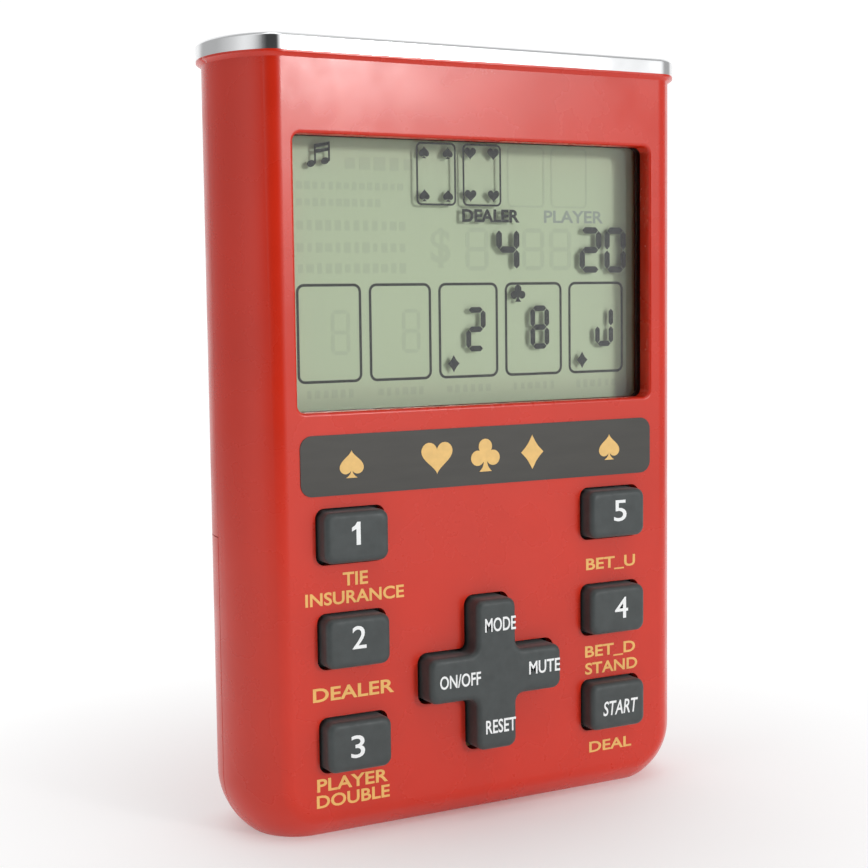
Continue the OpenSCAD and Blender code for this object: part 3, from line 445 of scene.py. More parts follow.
def skin_normal(p):
    """Exact outward normal of the case at p, or None when p is not on its outer skin."""
    if p.z > CORNER_Z:
        across, out = abs(p.x), Vector((math.copysign(1, p.x), 0, 0))
    elif abs(p.x) < CORNER_X:
        across, out = CORNER_X + CORNER_Z - p.z, Vector((0, 0, -1))
    else:
        out = Vector((p.x - math.copysign(CORNER_X, p.x), 0, p.z - CORNER_Z))
        across = CORNER_X + out.length
        out.normalize()
    side = math.copysign(1, p.y)
    if across < EDGE_X:
        return Vector((0, side, 0)) if abs(abs(p.y) + FRONT) < ON_SKIN else None
    for centre, offset, radius in ((EDGE_X, EDGE_Y, EDGE_R), (BULGE_X, 0, BULGE_R)):
        u, v = across - centre, abs(p.y) - offset
        reach = math.hypot(u, v)
        if abs(reach - radius) < ON_SKIN and v > -ON_SKIN:
            return out * (u / reach) + Vector((0, side * v / reach, 0))
    return None


def keep_skin_smooth(obj):
    """Gives the corners on the case's outer skin their exact normals, so flats are shaded flat,
    the bulged sides show no facets and each fillet starts exactly in line with its face."""
    mesh = obj.data
    exact = [skin_normal(vertex.co) for vertex in mesh.vertices]
    normals = [corner.vector.copy() for corner in mesh.corner_normals]
    for face in mesh.polygons:
        for corner in face.loop_indices:
            normal = exact[mesh.loops[corner].vertex_index]
            if normal and normal.dot(face.normal) > SAME_SIDE:
                normals[corner] = normal
    mesh.normals_split_custom_set(normals)


LEVEL_SPARE = 0.01 * MM


def near(value, level):
    return abs(value - level) < LEVEL_SPARE


GASKET_HALF = (WINDOW_HIGH.x - WINDOW_LOW.x) / 2
WINDOW_SPARE = 1 * MM


def on_window(p):
    level = WINDOW_LOW.z - WINDOW_SPARE < p.z < WINDOW_HIGH.z + WINDOW_SPARE
    return level and near(p.y, FRONT) and abs(p.x) < GASKET_HALF


def on_key_hole(p):
    return near(p.y, FRONT) and p.z < WINDOW_LOW.z - WINDOW_SPARE


SEAM_WIDTH, WINDOW_RIM, KEY_HOLE_RIM, CAP_RIM = 0.15 * MM, 0.45 * MM, 0.25 * MM, 0.12 * MM
DOOR_GAP = 0.3 * MM
DOOR_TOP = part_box("battery_door")[1].z
DOOR_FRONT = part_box("battery_door")[0].y
CAP_RISE = 2 * MM
CAP_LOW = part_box("top_cap")[1].z - CAP_RISE
front = piece("front_shell", soft_shell("front_cover", [
    (on_window, WINDOW_RIM),
    (on_key_hole, KEY_HOLE_RIM),
    (lambda p: near(p.y, 0), SEAM_WIDTH),
]), RED, replaces=["front_cover"])
back = piece("back_shell", soft_shell("back_cover", [
    (lambda p: near(p.y, 0), SEAM_WIDTH),
    (lambda p: p.y > 0 and abs(p.z - DOOR_TOP) < DOOR_GAP, SEAM_WIDTH),
]), RED, replaces=["back_cover"])
door = piece("door_shell", soft_shell("battery_door", [
    (lambda p: near(p.y, DOOR_FRONT), SEAM_WIDTH),
]), RED, body="battery_door", replaces=["battery_door"])
cap = piece("cap_shell", soft_shell("top_cap", [
    (lambda p: p.z > CAP_LOW, CAP_RIM),
]), CHROME, replaces=["top_cap"])
for shell in (front, back, door, cap):
    keep_skin_smooth(shell)
    print(shell.name, len(shell.data.polygons), "faces")

# %% [markdown]
# ## Keys
# Each key is one silicone moulding: a block with a soft edge round its face, a flange that stops
# it from falling out of its hole, and a stem that carries a carbon pill. A loft of rounded
# rectangles makes it: the rings close in near the face along a quarter circle, and step out
# at the flange.

# %% Key sizes and a key
KEY_GAP = 0.4 * MM
FLANGE_LAP = 0.7 * MM
FLANGE_THICK = 0.8 * MM
FLANGE_GAP = 0.15 * MM
KEY_CORNER = 1.35 * MM
FACE_CORNER = 0.45 * MM
LEAST_CORNER = 0.5 * MM
KEY_EDGE = 0.85 * MM
FACE_MARGIN = 0.3 * MM
CORNER_SHARE = 0.6
KEY_STEM = 2.2 * MM
EDGE_STEPS = 5


def edge_steps(radius):
    """(inset, depth) pairs along a quarter circle, from the face back to the side wall."""
    turns = [math.radians(90 * i / EDGE_STEPS) for i in range(EDGE_STEPS + 1)]
    return [(radius * (1 - math.sin(t)), radius * (1 - math.cos(t))) for t in turns]


def at_depth(outline, y, x=0.0, z=0.0):
    return [(x + px, y, z + pz) for px, pz in outline]


def make_key(name):
    low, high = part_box(name)
    x, z = (low.x + high.x) / 2, (low.z + high.z) / 2
    flange_w, flange_h = high.x - low.x, high.z - low.z
    width = flange_w - 2 * (FLANGE_LAP + KEY_GAP)
    height = flange_h - 2 * (FLANGE_LAP + KEY_GAP)
    flange_y = FRONT + WALL + FLANGE_GAP
    bm = bmesh.new()
    inset = KEY_EDGE + FACE_MARGIN
    face = rounded_box(width - 2 * inset, height - 2 * inset, FACE_CORNER)
    rings = [at_depth(face, low.y, x, z)]
    for inset, depth in edge_steps(KEY_EDGE):
        corner = max(KEY_CORNER - inset * CORNER_SHARE, LEAST_CORNER)
        edge = rounded_box(width - 2 * inset, height - 2 * inset, corner)
        rings.append(at_depth(edge, low.y + depth, x, z))
    rings.append(at_depth(rounded_box(width, height, KEY_CORNER), flange_y, x, z))
    for y in (flange_y, flange_y + FLANGE_THICK):
        rings.append(at_depth(rounded_box(flange_w, flange_h, KEY_CORNER), y, x, z))
    stem = [(KEY_STEM * math.cos(t), KEY_STEM * math.sin(t))
            for t in (math.radians(360 * (i + 0.5) / len(rings[0])) for i in range(len(rings[0])))]
    for y in (flange_y + FLANGE_THICK, high.y):
        rings.append(at_depth(stem, y, x, z))
    loft(bm, rings)
    tidy_normals(bm)
    made = piece(name + "_moulding", bm, KEY_RUBBER, body=name, replaces=[name])
    keep_skin_smooth(made)
    return made


KEYS = ["key_1", "key_2", "key_3", "key_4", "key_5", "key_start"]
for key_name in KEYS:
    make_key(key_name)
print("keys:", len(KEYS))

# %% [markdown]
# ## Cross key
# The cross is lofted in the same way from an outline with round tips and filleted inner
# corners. Moving the outline inwards by a distance shortens the arms, narrows them and swaps
# radius between tips and inner corners, so every ring keeps the same number of points.

# %% The cross key
CROSS_HOLE, CROSS_GAP = 7.7 * MM, 0.45 * MM
CROSS_WIDTH = CROSS_HOLE - 2 * CROSS_GAP
CROSS_TIP_R = 1.35 * MM
LEAST_TIP = 0.4 * MM
CROSS_INNER_R = 1.35 * MM
CROSS_EDGE = 0.85 * MM
DISC_THICK = 0.8 * MM
DISC_R = 7 * MM
DISC_GAP = 0.7 * MM
SOCKET_GAP = 0.4 * MM
COLLAR_R = 2.6 * MM
CONTACT_X = 8.3 * MM
CONTACT_STEM_R = 1.5 * MM
ROUND_STEPS = 48


def cross_outline(length, width, tip_r, inner_r, steps=5):
    points = []
    for turn in (0, 90, 180, 270):
        c, s = math.cos(math.radians(turn)), math.sin(math.radians(turn))
        corner = arc(length / 2 - tip_r, width / 2 - tip_r, tip_r, 0, 90, steps)
        corner += arc(width / 2 + inner_r, width / 2 + inner_r, inner_r, 270, 180, steps)
        corner += arc(width / 2 - tip_r, length / 2 - tip_r, tip_r, 0, 90, steps)
        points += [(c * x - s * z, s * x + c * z) for x, z in corner]
    return points


def disc(radius):
    turns = [math.radians(360 * i / ROUND_STEPS) for i in range(ROUND_STEPS)]
    return [(radius * math.cos(t), radius * math.sin(t)) for t in turns]


def make_cross():
    low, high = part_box("cross_key")
    pivot_low, pivot_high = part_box("cross_pivot")
    z = (pivot_low.z + pivot_high.z) / 2
    length = high.z - low.z
    disc_y = FRONT + WALL + DISC_GAP
    bm = bmesh.new()
    rings = []
    for inset, depth in [(CROSS_EDGE + FACE_MARGIN, 0), *edge_steps(CROSS_EDGE)]:
        tip = max(CROSS_TIP_R - inset * CORNER_SHARE, LEAST_TIP)
        ring = cross_outline(length - 2 * inset, CROSS_WIDTH - 2 * inset, tip, CROSS_INNER_R + inset)
        rings.append(at_depth(ring, low.y + depth, 0, z))
    rings.append(at_depth(cross_outline(length, CROSS_WIDTH, CROSS_TIP_R, CROSS_INNER_R),
                          disc_y + DISC_THICK, 0, z))
    loft(bm, rings)
    loft(bm, [at_depth(disc(DISC_R), y, 0, z) for y in (disc_y, disc_y + DISC_THICK)])
    socket_y = (pivot_low.y + pivot_high.y) / 2 - SOCKET_GAP
    loft(bm, [at_depth(disc(COLLAR_R), y, 0, z) for y in (disc_y, socket_y)])
    pill_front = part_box("cross_pills")[0].y
    for dx, dz in ((1, 0), (0, 1), (-1, 0), (0, -1)):
        stem = at_depth(disc(CONTACT_STEM_R), disc_y, dx * CONTACT_X, z + dz * CONTACT_X)
        loft(bm, [stem, [(px, pill_front, pz) for px, _, pz in stem]])
    tidy_normals(bm)
    made = piece("cross_moulding", bm, KEY_RUBBER, body="cross_key",
                 replaces=["cross_key"])
    keep_skin_smooth(made)
    return made


make_cross()
print("cross key lofted")

# %% [markdown]
# ## Domes
# Under every key a thin rubber skirt buckles when the key goes down and springs it back. Here
# each skirt is made at rest, as a still hollow ring that stays with the case.

# %% Domes under the keys
DOME_WALL = 0.5 * MM
DOME_TAPER = 0.8 * MM
DOME_BELLY = 1.5
DOME_RINGS = 6


def make_dome(node):
    low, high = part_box(node)
    x, z = (low.x + high.x) / 2, (low.z + high.z) / 2
    wide = (high.x - low.x) / 2
    narrow = wide - DOME_TAPER
    length = high.y - low.y
    rings = []
    for wall, order in ((0, range(DOME_RINGS + 1)), (DOME_WALL, range(DOME_RINGS, -1, -1))):
        for i in order:
            share = i / DOME_RINGS
            radius = wide + (narrow - wide) * share ** DOME_BELLY - wall
            rings.append(at_depth(disc(radius), high.y - length * share, x, z))
    bm = bmesh.new()
    loops = [[bm.verts.new(p) for p in ring] for ring in rings]
    for a, b in zip(loops, loops[1:] + loops[:1]):
        for i in range(ROUND_STEPS):
            j = (i + 1) % ROUND_STEPS
            bm.faces.new((a[i], a[j], b[j], b[i]))
    tidy_normals(bm)
    made = piece(node + "_skirt", bm, KEY_RUBBER, replaces=[node])
    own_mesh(made)


for suffix in ("1", "2", "3", "4", "5", "start"):
    make_dome("dome_" + suffix)
for side, joint in (("up", "cross_tilt_up_down"), ("down", "cross_tilt_up_down"),
                    ("left", "cross_tilt_left_right"), ("right", "cross_tilt_left_right")):
    make_dome("cross_dome_" + side)
print("domes: 10")

# %% [markdown]
# ## Lens and display cell
# The lens is a clear acrylic window. Behind it the display cell is a sandwich of a polarising
# film and two sheets of glass glued together, the front one longer at the bottom, where the
# rubber strip touches its contacts. Light passes the sandwich as one block, so one closed piece
# with a stepped lower edge stands for the three layers, and its back sits on the reflector.

# %% Lens and cell
lens_low, lens_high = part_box("window_lens")
LENS_EDGE, LENS_CORNER = 0.1 * MM, 0.6 * MM
lens_bm = bmesh.new()
lens_rings = []
for inset, y in ((LENS_EDGE, lens_low.y), (0, lens_low.y + LENS_EDGE), (0, lens_high.y)):
    ring = rounded_box(lens_high.x - lens_low.x - 2 * inset, lens_high.z - lens_low.z - 2 * inset,
                       LENS_CORNER, 0, (lens_high.z + lens_low.z) / 2)
    lens_rings.append(at_depth(ring, y))
loft(lens_bm, lens_rings)
tidy_normals(lens_bm)
piece("lens", lens_bm, LENS_CLEAR, replaces=["window_lens"])

glass_low, glass_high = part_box("front_glass")
rear_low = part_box("rear_glass")[0]
CELL_SINK = 0.05 * MM
profile = [(FILM_FRONT, rear_low.z), (FILM_FRONT, glass_high.z),
           (REFLECTOR_FRONT + CELL_SINK, glass_high.z), (REFLECTOR_FRONT + CELL_SINK, rear_low.z),
           (CELL_MIDDLE, rear_low.z), (CELL_MIDDLE, glass_low.z), (FILM_FRONT, glass_low.z)]
cell_bm = bmesh.new()
loft(cell_bm, [[(x, y, z) for y, z in profile] for x in (glass_low.x, glass_high.x)])
tidy_normals(cell_bm)
piece("display_cell", cell_bm, CELL_GLASS, smooth=10,
      replaces=["front_glass", "rear_glass", "front_film"])
print("lens and display cell made")

# %% [markdown]
# ## Card outlines with Geometry Nodes
# Every card on the display is the same rounded rectangle at another size and pitch, so one node
# tree draws them all: a rectangle curve, filleted corners, a thin square profile swept along it,
# and copies along a row. Its inputs are the sizes, and changing Count adds cards.


# %% A node tree for a row of cards
def node_group(name, inputs):
    """An empty geometry tree with named inputs of (name, socket type)."""
    tree = bpy.data.node_groups.new(name, "GeometryNodeTree")
    for label, kind in inputs:
        tree.interface.new_socket(label, in_out="INPUT", socket_type=kind)
    tree.interface.new_socket("Geometry", in_out="OUTPUT", socket_type="NodeSocketGeometry")
    return tree, tree.nodes.new("NodeGroupInput"), tree.nodes.new("NodeGroupOutput")


def run_tree(name, tree, values):
    """Evaluates a tree with these input values and makes one plain piece of the case of it."""
    holder = bpy.data.objects.new(name, bpy.data.meshes.new(name))
    bpy.context.scene.collection.objects.link(holder)
    modifier = holder.modifiers.new("made_by_nodes", "NODES")
    modifier.node_group = tree
    for item in tree.interface.items_tree:
        if item.item_type == "SOCKET" and item.in_out == "INPUT" and item.name in values:
            modifier[item.identifier] = values[item.name]
    mesh = bake_modifiers(holder)
    mesh.name = name
    for face in mesh.polygons:
        face.use_smooth = True
    mesh.set_sharp_from_angle(angle=math.radians(SMOOTH))
    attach(holder, "case")
    return holder


def inked_row(tree, given, result, shape, scale=None):
    """Ends a tree: Count copies of a shape from Start, a Pitch apart, made real and inked."""
    link = tree.links.new
    step = tree.nodes.new("ShaderNodeCombineXYZ")
    link(given.outputs["Pitch"], step.inputs["X"])
    row = tree.nodes.new("GeometryNodeMeshLine")
    link(given.outputs["Count"], row.inputs["Count"])
    link(given.outputs["Start"], row.inputs["Start Location"])
    link(step.outputs["Vector"], row.inputs["Offset"])
    place = tree.nodes.new("GeometryNodeInstanceOnPoints")
    link(row.outputs["Mesh"], place.inputs["Points"])
    link(shape, place.inputs["Instance"])
    if scale:
        link(scale, place.inputs["Scale"])
    real = tree.nodes.new("GeometryNodeRealizeInstances")
    link(place.outputs["Instances"], real.inputs["Geometry"])
    paint = tree.nodes.new("GeometryNodeSetMaterial")
    link(real.outputs["Geometry"], paint.inputs["Geometry"])
    link(given.outputs["Ink"], paint.inputs["Material"])
    link(paint.outputs["Geometry"], result.inputs["Geometry"])


def card_row_tree():
    tree, given, result = node_group("card_row", [
        ("Count", "NodeSocketInt"), ("Pitch", "NodeSocketFloat"), ("Width", "NodeSocketFloat"),
        ("Height", "NodeSocketFloat"), ("Corner", "NodeSocketFloat"), ("Line", "NodeSocketFloat"),
        ("Thickness", "NodeSocketFloat"), ("Start", "NodeSocketVector"), ("Ink", "NodeSocketMaterial"),
    ])
    link = tree.links.new
    card = tree.nodes.new("GeometryNodeCurvePrimitiveQuadrilateral")
    link(given.outputs["Width"], card.inputs["Width"])
    link(given.outputs["Height"], card.inputs["Height"])
    fillet = tree.nodes.new("GeometryNodeFilletCurve")
    fillet.mode = "POLY"
    fillet.inputs["Count"].default_value = 6
    link(card.outputs["Curve"], fillet.inputs["Curve"])
    link(given.outputs["Corner"], fillet.inputs["Radius"])
    profile_node = tree.nodes.new("GeometryNodeCurvePrimitiveQuadrilateral")
    link(given.outputs["Line"], profile_node.inputs["Width"])
    link(given.outputs["Thickness"], profile_node.inputs["Height"])
    sweep = tree.nodes.new("GeometryNodeCurveToMesh")
    link(fillet.outputs["Curve"], sweep.inputs["Curve"])
    link(profile_node.outputs["Curve"], sweep.inputs["Profile Curve"])
    upright = tree.nodes.new("GeometryNodeTransform")
    upright.inputs["Rotation"].default_value = (math.radians(90), 0, 0)
    link(sweep.outputs["Mesh"], upright.inputs["Geometry"])
    inked_row(tree, given, result, upright.outputs["Geometry"])
    return tree


CARD_ROW = card_row_tree()
print("card tree nodes:", len(CARD_ROW.nodes))

# %% [markdown]
# The display's layout is set out in millimetres from the middle of the case and up from its
# base. The five large cards are printed on the back of the glass, right on the reflector, so
# they throw no shadow. The small cards and all figures are segments between the two sheets of
# glass, a millimetre in front of the reflector, and their shadows fall on it.

# %% Cards
INK_THICK = 0.02 * MM
SEGMENT_Y = CELL_MIDDLE
PRINT_Y = REFLECTOR_FRONT - INK_THICK
CARD_W, CARD_H, CARD_R, CARD_LINE = 9.95 * MM, 14 * MM, 1.0 * MM, 0.4 * MM
CARD_LEFT, CARD_PITCH, CARD_Z = -27.2 * MM, 11.6 * MM, 73 * MM
SMALL_W, SMALL_H, SMALL_R, SMALL_LINE = 6.4 * MM, 9 * MM, 0.7 * MM, 0.3 * MM
SMALL_LEFT, SMALL_PITCH, SMALL_Z = -8.05 * MM, 7.85 * MM, 96.3 * MM
RESTING_LEFT = SMALL_LEFT + 2 * SMALL_PITCH + 0.5 * MM


def card_row(name, count, left, pitch, z, size, corner, line, y, material):
    return run_tree(name, CARD_ROW, {
        "Count": count, "Pitch": pitch, "Width": size[0], "Height": size[1], "Corner": corner,
        "Line": line, "Thickness": INK_THICK, "Start": (left + size[0] / 2, y, z), "Ink": material,
    })


card_row("large_cards", 5, CARD_LEFT, CARD_PITCH, CARD_Z, (CARD_W, CARD_H), CARD_R, CARD_LINE,
         PRINT_Y, CARD_INK)
card_row("small_cards", 2, SMALL_LEFT, SMALL_PITCH, SMALL_Z, (SMALL_W, SMALL_H), SMALL_R,
         SMALL_LINE, SEGMENT_Y, SEGMENT)
card_row("resting_cards", 2, RESTING_LEFT, SMALL_PITCH, SMALL_Z, (SMALL_W, SMALL_H), SMALL_R,
         SMALL_LINE, PRINT_Y, GHOST)
print("cards: 5 large, 2 small, 2 resting")

# %% [markdown]
# ## Suits
# The four suits are closed outlines in a box one unit high. A heart is a classic sine curve, a
# spade is that heart upside down with a flared foot, a club is the outer edge of three circles,
# and a diamond has four slightly hollow sides.


# %% Outlines of the suits
def heart_curve(start, steps=40):
    """The heart's right dip, round the point, to its left dip."""
    points = []
    for i in range(steps + 1):
        t = start + (2 * math.pi - 2 * start) * i / steps
        x = 16 * math.sin(t) ** 3
        z = 13 * math.cos(t) - 5 * math.cos(2 * t) - 2 * math.cos(3 * t) - math.cos(4 * t)
        points.append((x / 32, z / 32))
    return points


def foot(top_x, top_z, base_x, base_z, steps=5):
    """The flared foot of a spade or club, from its upper left round to its upper right."""
    left = []
    for i in range(1, steps + 1):
        share = i / steps
        left.append((-top_x - (base_x - top_x) * share ** 2.2, top_z + (base_z - top_z) * share))
    return left + [(-x, z) for x, z in reversed(left)]


def spade():
    head = [(x, -z) for x, z in heart_curve(0.42)]
    return head + foot(abs(head[-1][0]), head[-1][1], 0.24, -0.52)


def club():
    circles = ((0, 0.27, 0.235), (-0.27, -0.08, 0.235), (0.27, -0.08, 0.235))
    points = []
    for i in range(61):
        turn = math.radians(-72 + 324 * i / 60)
        dx, dz = math.cos(turn), math.sin(turn)
        reach = 0.05
        for cx, cz, r in circles:
            along = cx * dx + cz * dz
            inside = along * along - (cx * cx + cz * cz - r * r)
            if inside > 0:
                reach = max(reach, along + math.sqrt(inside))
        points.append((reach * dx, reach * dz))
    return points + foot(abs(points[-1][0]), points[-1][1], 0.22, -0.5)


def diamond(steps=6):
    tips = ((0, 0.5), (-0.38, 0), (0, -0.5), (0.38, 0))
    points = []
    for (x0, z0), (x1, z1) in zip(tips, tips[1:] + tips[:1]):
        for i in range(steps):
            share = i / steps
            hollow = 1 - 0.12 * math.sin(math.pi * share)
            points.append(((x0 + (x1 - x0) * share) * hollow, (z0 + (z1 - z0) * share) * hollow))
    return points


SUITS = {"spade": spade(), "heart": heart_curve(0), "club": club(), "diamond": diamond()}
SUITS["heart"] = SUITS["heart"][:-1]


def suit(bm, kind, x, z, height, front, thickness):
    """One suit with its middle at (x, z)."""
    outline = SUITS[kind]
    low, high = min(p[1] for p in outline), max(p[1] for p in outline)
    scale = height / (high - low)
    points = [(x + px * scale, z + (pz - (low + high) / 2) * scale) for px, pz in outline]
    prism(bm, points, front, front + thickness)


print({kind: len(points) for kind, points in SUITS.items()})

# %% [markdown]
# Each small card shows its suit in all four corners, three large cards show one each, and the
# label has gold ones. The label's middle carries a plain row of suits where a printed title
# would be.

# %% Suits on the display and on the label
pips = bmesh.new()
PIP_SIZE, CARD_SUIT = 1.8 * MM, 2.6 * MM
PIP_INSET_X, PIP_INSET_Z = 1.2 * MM, 1.35 * MM
for index, kind in enumerate(("spade", "heart")):
    middle = SMALL_LEFT + SMALL_W / 2 + index * SMALL_PITCH
    for sx in (-1, 1):
        for sz in (-1, 1):
            suit(pips, kind, middle + sx * (SMALL_W / 2 - PIP_INSET_X),
                 SMALL_Z + sz * (SMALL_H / 2 - PIP_INSET_Z), PIP_SIZE, SEGMENT_Y, INK_THICK)
for kind, x, z in (("diamond", -2.2, 68.05), ("club", 9.2, 78.5), ("diamond", 20.9, 67.95)):
    suit(pips, kind, x * MM, z * MM, CARD_SUIT, SEGMENT_Y, INK_THICK)
tidy_normals(pips)
piece("display_suits", pips, SEGMENT)

label_suits = bmesh.new()
INK_LAYER, INK_SINK = 0.03 * MM, 0.005 * MM
label_low, label_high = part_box("name_label")
SUIT_Z = (label_low.z + label_high.z) / 2 + 0.05 * MM
for kind, x, height in (("spade", -22.05, 4.0), ("heart", -8.2, 4.7), ("club", 0, 4.9),
                        ("diamond", 8.2, 5.2), ("spade", 22.25, 4.0)):
    suit(label_suits, kind, x * MM, SUIT_Z, height * MM, LABEL_FRONT - INK_LAYER,
         INK_LAYER + INK_SINK)
tidy_normals(label_suits)
piece("label_suits", label_suits, GOLD_FOIL)
print("suits placed")

# %% [markdown]
# ## Seven-segment figures
# A figure is made of up to seven bars with pointed ends. `a` is the top bar, `b` to `f` go
# clockwise, and `g` is the middle one. Bars that are off still show faintly as resting segments.
# Each row of the two lists gives a figure's left, bottom, width, height and bar in millimetres.

# %% Figures
FIGURES = {"0": "abcdef", "2": "abged", "4": "bcfg", "8": "abcdefg", "J": "bcde"}
BAR_GAP = 0.07 * MM


def bars(left, bottom, width, height, thick, lit):
    """Outlines of the lit bars of one figure."""
    half = thick / 2
    xs = (left + half, left + width - half)
    zs = (bottom + half, bottom + height / 2, bottom + height - half)
    ends = {"a": ((xs[0], zs[2]), (xs[1], zs[2])), "g": ((xs[0], zs[1]), (xs[1], zs[1])),
            "d": ((xs[0], zs[0]), (xs[1], zs[0])), "f": ((xs[0], zs[1]), (xs[0], zs[2])),
            "b": ((xs[1], zs[1]), (xs[1], zs[2])), "e": ((xs[0], zs[0]), (xs[0], zs[1])),
            "c": ((xs[1], zs[0]), (xs[1], zs[1]))}
    outlines = []
    for letter in lit:
        a, b = Vector(ends[letter][0]), Vector(ends[letter][1])
        way = (b - a).normalized()
        side = Vector((-way.y, way.x)) * half
        a, b = a + way * BAR_GAP, b - way * BAR_GAP
        inner_a, inner_b = a + way * half, b - way * half
        outlines.append([tuple(p) for p in (a, inner_a - side, inner_b - side, b, inner_b + side,
                                            inner_a + side)])
    return outlines


SHOWN = [("4", 5.4, 81.7, 4.1, 6.95, 1.0), ("2", 20.5, 81.6, 4.1, 7.1, 1.0),
         ("0", 25.2, 81.6, 4.1, 7.1, 1.0), ("2", 0.0, 69.8, 3.4, 6.7, 0.85),
         ("8", 11.4, 69.9, 3.4, 6.7, 0.85), ("J", 23.4, 70.0, 3.4, 6.4, 0.85)]
RESTING = [("8", -10.4, 69.8, 3.1, 6.6, 0.6), ("8", -22.0, 69.8, 3.1, 6.6, 0.6),
           ("8", 10.6, 82.0, 4.0, 6.5, 0.7), ("8", 15.6, 82.0, 4.0, 6.5, 0.7),
           ("8", 0.6, 82.0, 4.0, 6.5, 0.7)]
for name, rows, front, ink in (("lit_figures", SHOWN, SEGMENT_Y, SEGMENT),
                               ("resting_figures", RESTING, PRINT_Y, GHOST)):
    figures_bm = bmesh.new()
    for figure, *sizes in rows:
        for outline in bars(*[size * MM for size in sizes], FIGURES[figure]):
            prism(figures_bm, outline, front, front + INK_THICK)
    tidy_normals(figures_bm)
    piece(name, figures_bm, ink)
print("figures:", len(SHOWN), "lit,", len(RESTING), "resting")

# %% [markdown]
# ## Music note
# Two beamed notes show that the sound is on: two tilted oval heads, two stems and a sloping
# beam.

# %% Music note
note = bmesh.new()
NOTE_LEFT, NOTE_LOW, NOTE_W, NOTE_H = -25.9 * MM, 96.8 * MM, 3.5 * MM, 3.7 * MM
HEAD_W, HEAD_H, HEAD_TILT, STEM_W = 1.3 * MM, 0.95 * MM, 22, 0.28 * MM
NOTE_RISE, BEAM_THICK, BEAM_STEP = 0.45 * MM, 0.5 * MM, 0.8 * MM


def oval(x, z, width, height, tilt, steps=20):
    c, s = math.cos(math.radians(tilt)), math.sin(math.radians(tilt))
    ring = [(width / 2 * math.cos(t), height / 2 * math.sin(t))
            for t in (2 * math.pi * i / steps for i in range(steps))]
    return [(x + c * px - s * pz, z + s * px + c * pz) for px, pz in ring]


def note_part(outline):
    prism(note, outline, SEGMENT_Y, SEGMENT_Y + INK_THICK)


for stem_x, rise in ((NOTE_LEFT + HEAD_W, 0.0), (NOTE_LEFT + NOTE_W, NOTE_RISE)):
    head_z = NOTE_LOW + HEAD_H / 2 + rise
    stem_top = NOTE_LOW + NOTE_H - BEAM_THICK + rise
    note_part(oval(stem_x - HEAD_W / 2 + STEM_W / 2, head_z, HEAD_W, HEAD_H, HEAD_TILT))
    note_part([(stem_x, head_z), (stem_x + STEM_W, head_z), (stem_x + STEM_W, stem_top),
               (stem_x, stem_top)])
beam_x0, beam_x1 = NOTE_LEFT + HEAD_W, NOTE_LEFT + NOTE_W + STEM_W
for drop in (0, BEAM_STEP):
    top = NOTE_LOW + NOTE_H - NOTE_RISE - drop
    note_part([(beam_x0, top - BEAM_THICK), (beam_x1, top + NOTE_RISE - BEAM_THICK),
               (beam_x1, top + NOTE_RISE), (beam_x0, top)])
tidy_normals(note)
piece("music_note", note, SEGMENT)
print("note made")

# %% [markdown]
# ## Lettering
# The legends are plain words for what a key does. Blender's own font draws each word; the
# outline is made a thin closed mesh first, and only then stretched to its place, so the
# finished object sits at the origin like every other piece. The font's 1 is a plain bar, so
# that figure is an outline with a flag. The rubber keys and the cross carry their legends, so
# they move with them.


# %% Words as thin closed meshes
WORD_EXTRUDE = 0.05
WORD_MERGE = 1e-7


def word_mesh(bm, text, x0, x1, z, height, front, thickness, weight=0.012, lean=0.0):
    """Adds one word, from x0 to x1 and centred on z, all in metres."""
    curve = bpy.data.curves.new("word", "FONT")
    curve.body = text
    curve.extrude = WORD_EXTRUDE
    curve.offset = weight
    curve.resolution_u = 4
    holder = bpy.data.objects.new("word", curve)
    bpy.context.scene.collection.objects.link(holder)
    graph = bpy.context.evaluated_depsgraph_get()
    mesh = bpy.data.meshes.new_from_object(holder.evaluated_get(graph))
    bpy.data.objects.remove(holder)
    low = [min(v.co[i] for v in mesh.vertices) for i in range(3)]
    high = [max(v.co[i] for v in mesh.vertices) for i in range(3)]
    for vertex in mesh.vertices:
        share = [(vertex.co[i] - low[i]) / (high[i] - low[i]) for i in range(3)]
        slant = lean * (share[1] - 0.5) * height
        vertex.co = (x0 + (x1 - x0) * share[0] + slant, front + thickness * (1 - share[2]),
                     z + height * (share[1] - 0.5))
    before = set(bm.verts)
    bm.from_mesh(mesh)
    fresh = [v for v in bm.verts if v not in before]
    bmesh.ops.remove_doubles(bm, verts=fresh, dist=WORD_MERGE)
    bpy.data.meshes.remove(mesh)


def words(name, rows, front, thickness, material, slot, body="case", **style):
    """One piece that holds several words, each (text, x0, x1, z, height) in millimetres."""
    bm = bmesh.new()
    for text, x0, x1, z, height in rows:
        word_mesh(bm, text, x0 * MM, x1 * MM, z * MM, height * MM, front, thickness, **style)
    tidy_normals(bm)
    return piece(name, bm, material, body=body)


words("front_legends", [
    ("TIE", -23.7, -19.7, 38.0, 1.95), ("INSURANCE", -29.6, -13.9, 35.4, 1.9),
    ("DEALER", -28.7, -15.75, 21.6, 2.0), ("PLAYER", -28.3, -16.95, 8.4, 1.9),
    ("DOUBLE", -28.4, -16.7, 6.0, 1.9), ("BET_U", 17.95, 27.2, 36.2, 2.1),
    ("BET_D", 17.7, 27.2, 22.4, 2.1), ("STAND", 17.7, 27.6, 19.85, 1.85),
    ("DEAL", 18.4, 26.4, 7.3, 1.7),
], FRONT - INK_LAYER, INK_LAYER + INK_SINK, GOLD_INK, "red_plastic", weight=0.02)

